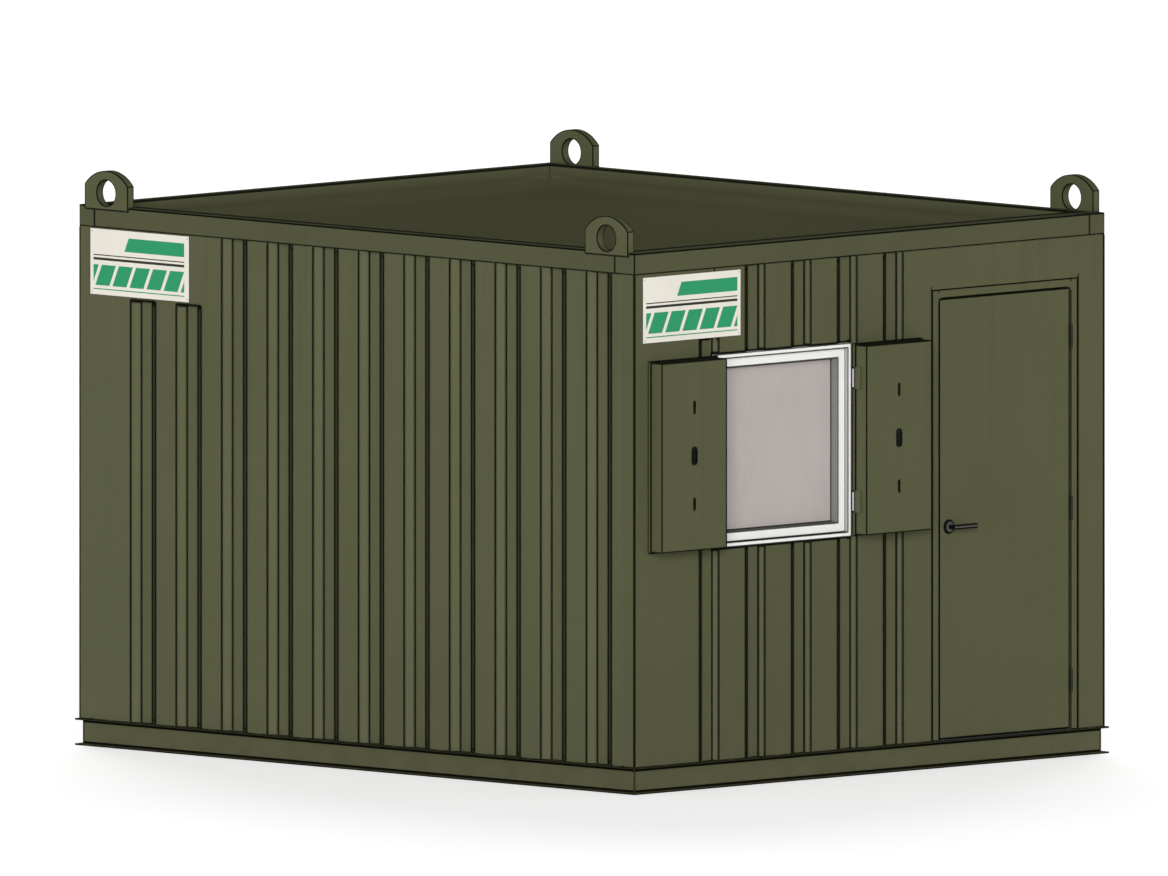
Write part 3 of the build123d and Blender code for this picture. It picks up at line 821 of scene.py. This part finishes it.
board_white = (0.74, 0.74, 0.71, 1)
board_joint = (0.42, 0.42, 0.4, 1)
board_pitch = 1.2
board_offset = 10.37
lining_finish, tree, shader, place = new_finish("lining_board")
parts = axes(place)
facing = facing_of(tree)
strips = []
for axis in "XY":
    boards = maths("DIVIDE", maths("ADD", parts[axis], board_offset), board_pitch)
    cover = within(maths("FRACT", boards), 0.5, 0.012)
    turned_away = all_but(size_of(facing[axis]))
    strips.append(times(cover, spread(turned_away, 0.4, 0.6)))
upright = maths("LESS_THAN", size_of(facing["Z"]), 0.5)
strip = maths("MAXIMUM", strips[0], times(strips[1], upright))
result = toned(noise(place, 2.0, 5.0), board_white, 0.96, 1.03)
result = blend_colour(strip, result, board_joint)
grain = noise(place, 300.0, 2.0)
lift = maths("MULTIPLY_ADD", strip, 0.001, times(grain, 0.00004))
show(shader, result, spread(grain, 0.3, 0.7, 0.42, 0.55), lift, 0.7)
give(lining_finish, "wall_linings", "ceiling_panel")


# ---- roof ring, roof sheet and lifting lugs ----
# Square tube welded into a ring round a shallow steel tray. Four flame-cut lugs are let into its
# outer top edges and welded all round. The weathered paint in the tray has lost its gloss.

# The tray sheet and the ring's inner olives below are darker than the walls: painted shade, lighter up the
# ring's inner faces and darkest low in the tray.
ring_olive = (0.0795, 0.083, 0.042, 1)
ring_inner_shaded_olives = ((0.075, 0.0775, 0.04, 1), (0.094, 0.0975, 0.051, 1))
roof_shaded_olive = (0.063, 0.065, 0.0337, 1)
# A lighter olive for the bands of painted light along the tray's edges.
light_band_olive = (0.094, 0.097, 0.0505, 1)
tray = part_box("roof_panel")
ring_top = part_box("roof_beam_left")[1].z
lap_width = 0.05
lap_rise = 0.012
light_band_peak = 0.03
light_band_end = 0.27
ring_folds = [("Z", ring_top, 0.0075), ("Z", wall_far.z, 0.004)]
give(
    enamel("roof_ring_enamel", ring_olive, reach=0.0085, folds=ring_folds, inside=tray,
           inner_shaded_colours=ring_inner_shaded_olives, lap=lap_width, line_floor=tray[1].z + lap_rise, dusty=0.0,
           runs=0.1, ledges=0.5),
    "roof_beam_front", "roof_beam_back", "roof_beam_left", "roof_beam_right",
)
light_bands = [(axis, edge, light_band_peak, light_band_end, light_band_olive) for axis, *edges in zip("XY", *tray) for edge in edges]
give(
    enamel("roof_sheet_enamel", roof_shaded_olive, reach=0, dusty=0.0, runs=0.0, ledges=0.0, light_bands=light_bands, coat=0.0),
    "roof_panel",
)
give(enamel("lug_enamel", reach=0.0075, dusty=0.0, runs=0.1, ledges=0.3), "lifting_lugs")

lug_low, lug_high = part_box("lifting_lugs")
lug_thickness = 0.0405
lug_length = 0.282
lug_bead = 0.0045
lug_under_bead = 0.003
beads = []
for inner_x, outer_x in (
    (lug_low.x + lug_thickness, wall_near.x), (lug_high.x - lug_thickness, wall_far.x)
):
    for start_y in (lug_low.y, lug_high.y - lug_length):
        near_outer, far_outer, near_inner, far_inner = [
            Vector((x, y, ring_top)) for x in (outer_x, inner_x) for y in (start_y, start_y + lug_length)
        ]
        under = Vector((0, 0, lug_low.z - ring_top))
        beads += [
            weld(near_inner, far_inner, lug_bead), weld(near_outer, near_inner, lug_bead),
            weld(far_outer, far_inner, lug_bead), weld(near_outer + under, far_outer + under, lug_under_bead),
        ]
fit(joined("lug_welds", beads), weld_enamel, "cabin")


# ---- doorway ----
# A folded steel door frame welded into the end wall, its jambs and head ground flush at the corners.
# The leaf closes on a rubber seal stuck to the stop, over a chequered steel threshold strip.

door_low, door_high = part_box("door_leaf")
head_low, head_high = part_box("door_head")
threshold_low, threshold_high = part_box("door_threshold")
frame_joins = [
    ("X", x, "Z", head_low.z - 0.002, head_high.z - line_reach) for x in (head_low.x, head_high.x)
]
give(enamel("door_frame_enamel", reach=0.0065, joins=frame_joins, ledges=0.8), "door_jambs", "door_head")

# The threshold's raised chequer is pressed in the strip, dull in its hollows and bright on its tops.
threshold_finish, tree, shader, place = new_finish("threshold_chequer")
skin = place_group(tree, bare_steel, Place=place, Colour=(0.13, 0.13, 0.125, 1), Spangle=0.1, Gloss=0.5)
ridges = []
for turn in (45, -45):
    laid = put(tree, "Mapping", Vector=place, Rotation=(0, 0, math.radians(turn)), Scale=(60.0, 22.0, 1.0))
    cells = vector_maths("FRACTION", laid.outputs[0])[0]
    from_middle = axes(vector_maths("SUBTRACT", cells, (0.5, 0.5, 0.5))[0])
    across = spread(size_of(from_middle["X"]), 0.12, 0.3, 1.0, 0.0)
    lengthways = spread(size_of(from_middle["Y"]), 0.28, 0.42, 1.0, 0.0)
    ridges.append(times(across, lengthways))
ridge = maths("MAXIMUM", *ridges)
result = blend_colour(ridge, (0.03, 0.029, 0.026, 1), skin["Colour"])
rough = spread(ridge, 0.0, 1.0, 0.6, 0.35)
show(shader, result, rough, times(ridge, 0.0008), 0.9, Metallic=0.8)
give(threshold_finish, "door_threshold")


def sunk_screw(centre, out, radius, proud=0.0003):
    """A countersunk screw head with a round socket, nearly flush with its plate."""
    under = 0.002
    head = turned(centre - out * under, out, radius, under + proud, sides=12)
    top = centre + out * proud
    open_up(head, lambda middle, normal: (middle - top).length < radius * 0.2)
    bpy.ops.mesh.inset(thickness=radius * 0.12, depth=proud * 0.4)
    bpy.ops.mesh.inset(thickness=radius * 0.38, depth=0)
    bpy.ops.mesh.inset(thickness=radius * 0.04, depth=-proud * 2.5)
    close_up(head)
    return soften(head, 30)


zinc_colour = (0.5, 0.485, 0.53, 1)
bright_zinc = steel("bright_zinc", zinc_colour, metal=0.75, spangle=0.15, gloss=0.38)
screws = []
for share in (0.06, 0.35, 0.65, 0.94):
    x = threshold_low.x + (threshold_high.x - threshold_low.x) * share
    centre = Vector((x, (threshold_low.y + threshold_high.y) / 2, threshold_high.z))
    screws.append(sunk_screw(centre, upwards, 0.0045, proud=0.0005))
fit(joined("threshold_screws", screws), bright_zinc, "cabin")

# Rubber: matt black, chalky where it is rubbed.
rubber, _, shader, place = new_finish("black_rubber")
chalk = noise(place, 60.0, 5.0)
chalky = spread(chalk, 0.4, 0.8)
result = blend_colour(chalky, (0.012, 0.012, 0.012, 1), (0.04, 0.04, 0.038, 1))
rough = spread(chalk, 0.3, 0.7, 0.55, 0.75)
pores = times(noise(place, 900.0, 1.0), 0.00005)
show(shader, result, rough, pores, Specular_IOR_Level=0.3)

stop_face = threshold_high.y
seal_width = 0.010
seal_face = stop_face - 0.0045
stop_edge = 0.001
seal_top = head_low.z + seal_width + stop_edge
seal_parts = []
for low_x in (head_low.x + stop_edge, head_high.x - stop_edge - seal_width):
    low = Vector((low_x, seal_face, threshold_high.z))
    seal_parts.append(new_block(low, Vector((low_x + seal_width, stop_face, seal_top))))
low = Vector((head_low.x + stop_edge + seal_width, seal_face, seal_top - seal_width))
high = Vector((head_high.x - stop_edge - seal_width, stop_face, seal_top))
seal_parts.append(new_block(low, high))
for part in seal_parts:
    bevel_end(part, -to_back, 0.003, 3)
fit(soften(joined("door_seal", seal_parts), 50), rubber, "cabin")

# The strike plate, let a little proud of the left jamb, with the hole that the latch springs into.
rosette_low, rosette_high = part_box("door_rosettes")
latch_z = (rosette_low.z + rosette_high.z) / 2
leaf_middle_y = (door_low.y + door_high.y) / 2


def latch_block(low_x, high_x, half_width, half_height):
    """A block at the latch's height, in the middle of the leaf's thickness."""
    low = Vector((low_x, leaf_middle_y - half_width, latch_z - half_height))
    return new_block(low, Vector((high_x, leaf_middle_y + half_width, latch_z + half_height)))


def latch_screws(x, out, radius, away):
    """Two screws in a plate, one above and one below the latch."""
    return [
        sunk_screw(Vector((x, leaf_middle_y, latch_z + side * away)), out, radius) for side in (-1, 1)
    ]


strike_half = 0.085
strike_face = head_low.x + 0.0015
hole_half = 0.016
hole_rim = 0.006
hole_depth = 0.0012
strike = latch_block(head_low.x, strike_face, 0.014, strike_half)
for z in (latch_z - hole_half, latch_z + hole_half):
    cut(strike, (0, 0, z), upwards)
open_up(strike, lambda middle, normal: normal.x > 0.9 and abs(middle.z - latch_z) < hole_half)
bpy.ops.mesh.inset(thickness=hole_rim, depth=0)
bpy.ops.mesh.inset(thickness=0.0002, depth=-hole_depth)
close_up(strike)
round_over(strike, 0.0003)
strike_parts = [strike] + latch_screws(strike_face, to_right, 0.004, strike_half * 0.75)
fit(joined("strike_plate", strike_parts), bright_zinc, "cabin")


# ---- door leaf and its hinges ----
# A folded steel leaf with an insulated core, hung on three butt hinges that are let into its edge and
# the jamb, and held with countersunk screws. The latch works through a narrow plate in its free edge.

edge_half = 0.004
leaf_folds = [("X", door_low.x + edge_half, edge_half), ("X", door_high.x - edge_half, edge_half)]
give(enamel("door_enamel", reach=0.0075, folds=leaf_folds, uneven=0.12), "door_leaf")
# The hinges and their caps are near black, grease and painted shade, so that they sit in the dark line of the
# door's gap.
greased_shaded_enamel = enamel("greased_shaded_hinge_enamel", colour=(0.02, 0.021, 0.014, 1), reach=0, runs=0.0)
give(greased_shaded_enamel, "door_hinges_fixed", "door_hinges_moving")


def pin_of(joint_name):
    """The place of a joint's pin."""
    return next(joint for joint in frame["joints"] if joint["name"] == joint_name)["pos_m"]


pin_x, pin_y, _ = pin_of("door_hinge")
hinge_low, hinge_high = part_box("door_hinges_fixed")
hinge_length = 0.1
barrel_radius = 0.0055
cap_radius = barrel_radius * 1.02
cap_height = 0.004
hinge_starts = [hinge_low.z, (hinge_low.z + hinge_high.z - hinge_length) / 2, hinge_high.z - hinge_length]
caps = []
for start in hinge_starts:
    for z, out in ((start, -upwards), (start + hinge_length, upwards)):
        cap = turned(Vector((pin_x, pin_y, z)), out, cap_radius, cap_height, sides=20)
        caps.append(bevel_end(cap, out, 0.0025, 3))
fit(soften(joined("door_hinge_caps", caps), 50), greased_shaded_enamel, "cabin")

hinge_screw = 0.0038
leaf_screws = []
jamb_screws = []
for start in hinge_starts:
    for share, inwards in ((0.17, 0.01), (0.5, 0.017), (0.83, 0.01)):
        z = start + hinge_length * share
        y = door_low.y + inwards
        leaf_screws.append(sunk_screw(Vector((door_high.x, y, z)), to_right, hinge_screw))
        jamb_screws.append(sunk_screw(Vector((head_high.x, y, z)), -to_right, hinge_screw))
fit(joined("leaf_hinge_screws", leaf_screws), bright_zinc, "door")
fit(joined("jamb_hinge_screws", jamb_screws), bright_zinc, "cabin")

latch_face = door_low.x - 0.001
latch_back = door_low.x + 0.001
latch_plate = round_over(latch_block(latch_face, latch_back, 0.012, 0.11), 0.0004)
latch = latch_block(door_low.x - 0.0031, latch_back, 0.006, 0.011)
bevel_end(latch, -to_right, 0.001, 2)
latch_parts = [latch_plate, latch] + latch_screws(latch_face, -to_right, 0.0035, 0.1)
fit(joined("latch_plate", latch_parts), bright_zinc, "door")


# ---- door handle ----
# Die-cast lever and round cover plates on thin rings, painted satin black. Along the middle of the
# grip and round the spindle, on the faces turned out from the door, they are grey: rubbed down where
# hands and keys touch them, and a painted highlight.

plate_centre = (rosette_low + rosette_high) / 2
plate_radius = (rosette_high.z - rosette_low.z) / 2
plate_depth = 0.02
lever_low, lever_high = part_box("door_lever_outside")
lever_middle = (lever_low + lever_high) / 2
half_grip = (lever_high.z - lever_low.z) / 2
handle_black = (0.005, 0.005, 0.0045, 1)
rubbed_and_lit_greys = ((0.055, 0.051, 0.047, 1), (0.105, 0.098, 0.09, 1))

handle_finish, tree, shader, place = new_finish("handle_rubbed_black")
cast = times(noise(place, 700.0, 2.0), 0.00003)
rubbed = noise(place, 45.0, 3.0)
parts = axes(place)
from_leaf = from_place(parts["Y"], plate_centre.y)
on_grip = maths("GREATER_THAN", from_leaf, (door_high.y - door_low.y) / 2 + plate_depth)
up = from_place(parts["Z"], lever_middle.z)
grip_middle = spread(up, half_grip * 0.22, half_grip * 0.42, 1.0, 0.0)
across = maths("SUBTRACT", parts["X"], plate_centre.x)
from_spindle = maths("SQRT", maths("MULTIPLY_ADD", across, across, times(up, up)))
plate_middle = spread(from_spindle, plate_radius * 0.7, plate_radius * 0.85, 1.0, 0.0)
# The grey of the grip's middle and the plate's middle is wear and a painted highlight.
rubbed_and_lit = spread(on_grip, 0.0, 1.0, plate_middle, grip_middle)
rubbed_and_lit = times(rubbed_and_lit, spread(size_of(facing_of(tree)["Y"]), 0.85, 0.97))
wear_and_highlight = blend_colour(spread(rubbed, 0.35, 0.7), *rubbed_and_lit_greys)
result = blend_colour(rubbed_and_lit, handle_black, wear_and_highlight)
show(shader, result, spread(rubbed, 0.3, 0.7, 0.4, 0.52), cast, 0.5, Specular_IOR_Level=0.0,
     Coat_Roughness=0.4, Coat_Weight=maths("MULTIPLY_ADD", rubbed_and_lit, 0.3, 0.05))
give(handle_finish, "door_rosettes", "door_lever_outside", "door_lever_inside")

ring_proud = 0.004
ring_depth = 0.002
rings = []
for face_y, out in ((door_low.y, -to_back), (door_high.y, to_back)):
    centre = Vector((plate_centre.x, face_y, plate_centre.z))
    thin_ring = turned(centre, out, plate_radius + ring_proud, ring_depth, sides=32)
    rings.append(bevel_end(thin_ring, out, 0.0012, 2))
fit(soften(joined("door_handle_rings", rings), 50), handle_finish, "door")


# ---- window ----
# A white welded plastic frame screwed into the end wall, with a fixed sash, stepped glazing beads,
# black gaskets and a sealed double pane. The mitres are welded and their seams scraped.

sash_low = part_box("window_sash")[0]
glass_low, glass_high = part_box("window_glass")
window_middle = (window_low + window_high) / 2
window_half = (window_high - window_low) / 2
plastic_white = (0.86, 0.86, 0.84, 1)
seam_grey = (0.3, 0.3, 0.29, 1)
step_behind = 0.0015
step_spare = 0.0005


def white_plastic(name, front, inset, shaded_colour):
    """Smooth white plastic with dark joint lines and fine welded mitre seams. The steps behind the
    front, inside the strip of width inset, are greyed with painted shade, and nearly black where they
    are level, painted shade too."""
    material, tree, shader, place = new_finish(name)
    parts = axes(place)
    to_side = maths("SUBTRACT", window_half.x, from_place(parts["X"], window_middle.x))
    to_top = maths("SUBTRACT", window_half.z, from_place(parts["Z"], window_middle.z))
    mitre = within(to_side, to_top, 0.0007)
    line = place_group(tree, edge_line, Reach=0.0075, Full=0.06)["Line"]
    soil = noise(place, 6.0, 5.0)
    result = toned(soil, plastic_white, 0.97, 1.01)
    result = blend_colour(times(mitre, 0.5), result, seam_grey)
    # The recessed steps are greyed with painted shade, and level ones are nearly black with it.
    behind = maths("GREATER_THAN", parts["Y"], front + step_behind)
    inner = maths("GREATER_THAN", maths("MINIMUM", to_side, to_top), inset - step_spare)
    recess_shade = times(behind, inner)
    result = blend_colour(recess_shade, result, shaded_colour)
    upward = facing_of(tree)["Z"]
    level = times(recess_shade, spread(upward, 0.3, 0.6))
    result = blend_colour(level, result, line_colour)
    clear = spread(recess_shade, 0.0, 1.0, 0.97, 0.4)
    result = blend_colour(times(line, clear), result, line_colour)
    grain = noise(place, 500.0, 1.0)
    lift = maths("MULTIPLY_ADD", grain, 0.00003, times(mitre, -0.0003))
    show(shader, result, spread(soil, 0.3, 0.7, 0.3, 0.42), lift, Specular_IOR_Level=0.0,
         Coat_Roughness=0.2, Coat_Weight=spread(size_of(upward), 0.2, 0.6, 0.3, 0.0))
    return material


frame_strip = sash_low.x - window_low.x
sash_strip = 0.0445
give(
    white_plastic("window_frame_plastic", window_low.y, frame_strip, (0.36, 0.36, 0.352, 1)), "window_frame"
)
give(
    white_plastic("window_sash_plastic", sash_low.y, frame_strip + sash_strip, (0.27, 0.27, 0.263, 1)),
    "window_sash",
)

glass_setback = 0.008
gasket_width = 0.005
gasket_depth = 0.0045
gasket_rounding = 0.0012
opening_low = glass_low + Vector((glass_setback, 0, glass_setback))
opening_high = glass_high - Vector((glass_setback, 0, glass_setback))
gaskets = []
for face_y in (glass_low.y - gasket_depth, glass_high.y):
    low = Vector((opening_low.x, face_y, opening_low.z))
    gasket = new_block(low, Vector((opening_high.x, face_y + gasket_depth, opening_high.z)))
    open_up(gasket, lambda middle, normal: abs(normal.y) > 0.9)
    bpy.ops.mesh.inset(thickness=gasket_width, depth=0)
    bpy.ops.mesh.bridge_edge_loops()
    close_up(gasket)
    gaskets.append(round_over(gasket, gasket_rounding))
fit(joined("glazing_gaskets", gaskets), rubber, "cabin")

# The pane is dull and slightly pink from years of paint mist and dust, and hardly seen through.
glass_pink = (0.5, 0.45, 0.432, 1)
drip_pink = (0.56, 0.52, 0.5, 1)
glass_finish, tree, shader, place = new_finish("hazed_glass")
haze = noise(place, 2.4, 4.0)
smear = put(tree, "Mapping", Vector=place, Scale=(3.0, 3.0, 0.8)).outputs[0]
drips = noise(smear, 7.0, 4.0)
film = times(spread(drips, 0.45, 0.75), 0.25)
result = blend_colour(film, toned(haze, glass_pink, 0.97, 1.03), drip_pink)
show(shader, result, spread(drips, 0.4, 0.8, 0.06, 0.2), times(haze, 0.0004), 0.3,
     Metallic=0.0, Transmission_Weight=0.12, Specular_IOR_Level=0.35)
give(glass_finish, "window_glass")


# ---- window shutters ----
# Two folded steel trays with a vented box in each, hung on cranked zinc-plated hinges that fold right
# back against the wall. The trays are riveted, and rubber buffers keep them off the wall paint.

left_box_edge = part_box("left_shutter_box")[1].x
shutter_folds = [("X", left_box_edge - edge_half, edge_half)]
give(
    enamel("shutter_enamel", reach=0.0075, folds=shutter_folds, dusty=0.0, ledges=1.0),
    "left_shutter_box", "right_shutter_box", "left_shutter_pan", "right_shutter_pan",
)

pull_black, tree, shader, place = new_finish("pull_black_plastic")
moulding = noise(place, 650.0, 2.0)
rubbed = spread(noise(place, 70.0, 2.0), 0.55, 0.75)
line = place_group(tree, edge_line, Reach=0.003)["Line"]
result = blend_colour(rubbed, (0.003, 0.003, 0.003, 1), (0.03, 0.03, 0.029, 1))
result = blend_colour(times(line, 0.6), result, (0.002, 0.002, 0.002, 1))
show(shader, result, spread(moulding, 0.3, 0.7, 0.3, 0.45), times(moulding, 0.00005),
     Specular_IOR_Level=0.12)
give(pull_black, "left_shutter_pull", "right_shutter_pull")

# The hinge arms are bright in a strip by the wall, with a black band round it, sealer and painted
# shade, and painted with the shutter from there on.
bracket_low, bracket_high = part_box("shutter_brackets")
hinge_span = 0.102
hinge_bottoms = (bracket_low.z, bracket_high.z - hinge_span)
bare_middle = wall_near.y - 0.012
bare_half = 0.0055
dark_band_width = 0.008
arm_finish, tree, shader, place = new_finish("hinge_arm_part_painted")
skin = place_group(tree, bare_steel, Place=place, Colour=zinc_colour, Spangle=0.15, Gloss=0.5)
film = place_group(tree, enamel_film, Place=place, Colour=olive, Unevenness=0.1)
parts = axes(place)
brushed = maths("MULTIPLY_ADD", noise(place, 90.0, 2.0), 0.002, parts["Y"])
inside_ends = [
    within(parts["Z"], bottom + hinge_span / 2, hinge_span / 2 - dark_band_width) for bottom in hinge_bottoms
]
bare = times(within(brushed, bare_middle, bare_half), maths("MAXIMUM", *inside_ends))
dark_band = maths("GREATER_THAN", brushed, bare_middle - bare_half - dark_band_width)
result = blend_colour(dark_band, film["Colour"], line_colour)
result = blend_colour(bare, result, skin["Colour"])
rough = spread(bare, 0.0, 1.0, 0.5, 0.45)
show(shader, result, rough, skin["Height"], 0.5, Specular_IOR_Level=0.1, Metallic=times(bare, 0.3))
give(arm_finish, "shutter_brackets")
give(
    enamel("shutter_hinge_enamel", reach=0, dusty=0.0, ledges=0.5),
    "left_shutter_flaps", "right_shutter_flaps",
)


def dome(centre, out, radius, height):
    """A round rivet or screw head on a plate, flat underneath."""
    start_fresh()
    bpy.ops.mesh.primitive_uv_sphere_add(
        segments=12, ring_count=8, radius=radius, location=centre,
        rotation=out.to_track_quat("Z", "Y").to_euler(), scale=(1, 1, height / radius)
    )
    head = cut(settle("dome"), centre, out, use_fill=True, clear_inner=True)
    return soften(head, 60)


rivet_enamel = enamel("rivet_enamel", reach=0, dusty=0.0, runs=0.0, ledges=0.0)
rivet_radius = 0.005
rivet_height = 0.0022
rivet_edge = 0.022
rivet_rows = 8
flap_plate = 0.002
flap_screw_radius = 0.0032
flap_screw_height = 0.0011
bracket_bead = 0.0032
bead_stop = 0.004
bead_off_pin = 0.0015
groove_floor = bracket_high.y
buffer_inset = 0.045
buffer_rise = 0.12
buffer_radius = 0.010
buffer_depth = 0.0042
for side, hand in (("left", -1), ("right", 1)):
    body = side + "_shutter"
    pan_low, pan_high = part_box(body + "_pan")
    columns = [pan_low.x + rivet_edge, (pan_low.x + pan_high.x) / 2, pan_high.x - rivet_edge]
    rise = (pan_high.z - pan_low.z - 2 * rivet_edge) / rivet_rows
    start = Vector((columns[0], pan_high.y, pan_low.z + rivet_edge))
    first = dome(start, to_back, rivet_radius, rivet_height)
    rivets = [first]
    for column, x in enumerate(columns):
        for row in range(rivet_rows + 1):
            at_end = row in (0, rivet_rows)
            if (column, row) != (0, 0) and (column != 1 or at_end):
                rivets.append(copied(first, Matrix.Translation((x - columns[0], 0, rise * row))))
    fit(joined(body + "_rivets", rivets), rivet_enamel, body)

    pin_x, pin_y, _ = pin_of(body + "_hinge")
    flap_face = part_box(body + "_box")[1 if hand < 0 else 0].x - hand * flap_plate
    screws = []
    for bottom in hinge_bottoms:
        for share, off in ((0.18, -0.006), (0.5, 0.006), (0.82, -0.006)):
            centre = Vector((flap_face, pin_y + off, bottom + hinge_span * share))
            screws.append(dome(centre, to_right * -hand, flap_screw_radius, flap_screw_height))
    fit(joined(body + "_flap_screws", screws), rivet_enamel, body)

    beads = []
    for bottom in hinge_bottoms:
        start = Vector((pin_x + hand * bead_off_pin, groove_floor, bottom + bead_stop))
        beads.append(weld(start, start + upwards * (hinge_span - 2 * bead_stop), bracket_bead))
    fit(joined(side + "_bracket_welds", beads), weld_enamel, "cabin")

    free_edge = pan_low.x if hand < 0 else pan_high.x
    buffers = []
    for z in (pan_low.z + buffer_rise, pan_high.z - buffer_rise):
        centre = Vector((free_edge - hand * buffer_inset, wall_near.y, z))
        buffer = turned(centre, -to_back, buffer_radius, buffer_depth)
        buffers.append(bevel_end(buffer, -to_back, 0.0015, 3))
    fit(soften(joined(side + "_shutter_buffers", buffers), 50), rubber, "cabin")


# ---- signs ----
# Two thin composite plates screwed to the plain places under the eaves, left generic: a cream ground
# with green bands, cut by slanting gaps, and three rules. They carry no lettering.

sign_low, sign_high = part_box("sign_plates")
sign_height = 0.309
front_sign_width = 0.640
side_sign_width = 0.651
sign_cream = (0.79, 0.755, 0.665, 1)
sign_green = (0.018, 0.29, 0.118, 1)
sign_dark = (0.02, 0.022, 0.018, 1)

sign_finish, tree, shader, place = new_finish("sign_plate")
parts = axes(place)
on_side = maths("LESS_THAN", parts["X"], wall_near.x + 0.0004)
along_front = maths("SUBTRACT", parts["X"], sign_high.x - front_sign_width)
along_side = maths("SUBTRACT", sign_high.y, parts["Y"])
along = put(tree, "Mix", i0=on_side, i2=along_front, i3=along_side).outputs[0]
up_front = maths("SUBTRACT", parts["Z"], sign_low.z)
up_side = maths("SUBTRACT", parts["Z"], sign_high.z - sign_height)
up = put(tree, "Mix", i0=on_side, i2=up_front, i3=up_side).outputs[0]
slanted = maths("MULTIPLY_ADD", up, -0.45, along)
gaps = maths("FRACT", maths("DIVIDE", maths("ADD", slanted, 0.5), 0.112))
bars = all_but(within(gaps, 0.5, 0.09))
field = within(along, front_sign_width / 2, front_sign_width / 2 - 0.022)
band, thick_rule, thin_rule, low_rule, cap_band = [
    times(within(up, middle, half), field)
    for middle, half in ((0.093, 0.048), (0.168, 0.006), (0.186, 0.0025), (0.028, 0.0025), (0.242, 0.032))
]
band = times(band, bars)
cap_band = times(cap_band, within(slanted, 0.33, 0.2))
aged = noise(place, 5.0, 4.0)
result = toned(aged, sign_cream, 0.965, 1.02)
result = blend_colour(maths("MAXIMUM", band, cap_band), result, sign_green)
result = blend_colour(maths("MAXIMUM", thick_rule, thin_rule), result, sign_dark)
result = blend_colour(low_rule, result, sign_green)
result = blend_colour(place_group(tree, edge_line, Reach=0.003)["Line"], result, line_colour)
skin = times(noise(place, 260.0, 1.0), 0.00004)
show(shader, result, spread(aged, 0.3, 0.7, 0.3, 0.42), skin, 0.5, Specular_IOR_Level=0.25)
give(sign_finish, "sign_plates")

inset = 0.013
screw_radius = 0.0045
screw_height = 0.0016
screws = []
for rise in (inset, sign_height - inset):
    for share in (0, 1):
        x = sign_high.x - front_sign_width + inset + share * (front_sign_width - 2 * inset)
        y = sign_high.y - inset - share * (side_sign_width - 2 * inset)
        on_front = Vector((x, sign_low.y, sign_low.z + rise))
        on_left = Vector((sign_low.x, y, sign_high.z - sign_height + rise))
        screws.append(dome(on_front, -to_back, screw_radius, screw_height))
        screws.append(dome(on_left, -to_right, screw_radius, screw_height))
fit(joined("sign_screws", screws), bright_zinc, "cabin")


# ---- sizes of the finished scene ----

low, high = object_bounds()
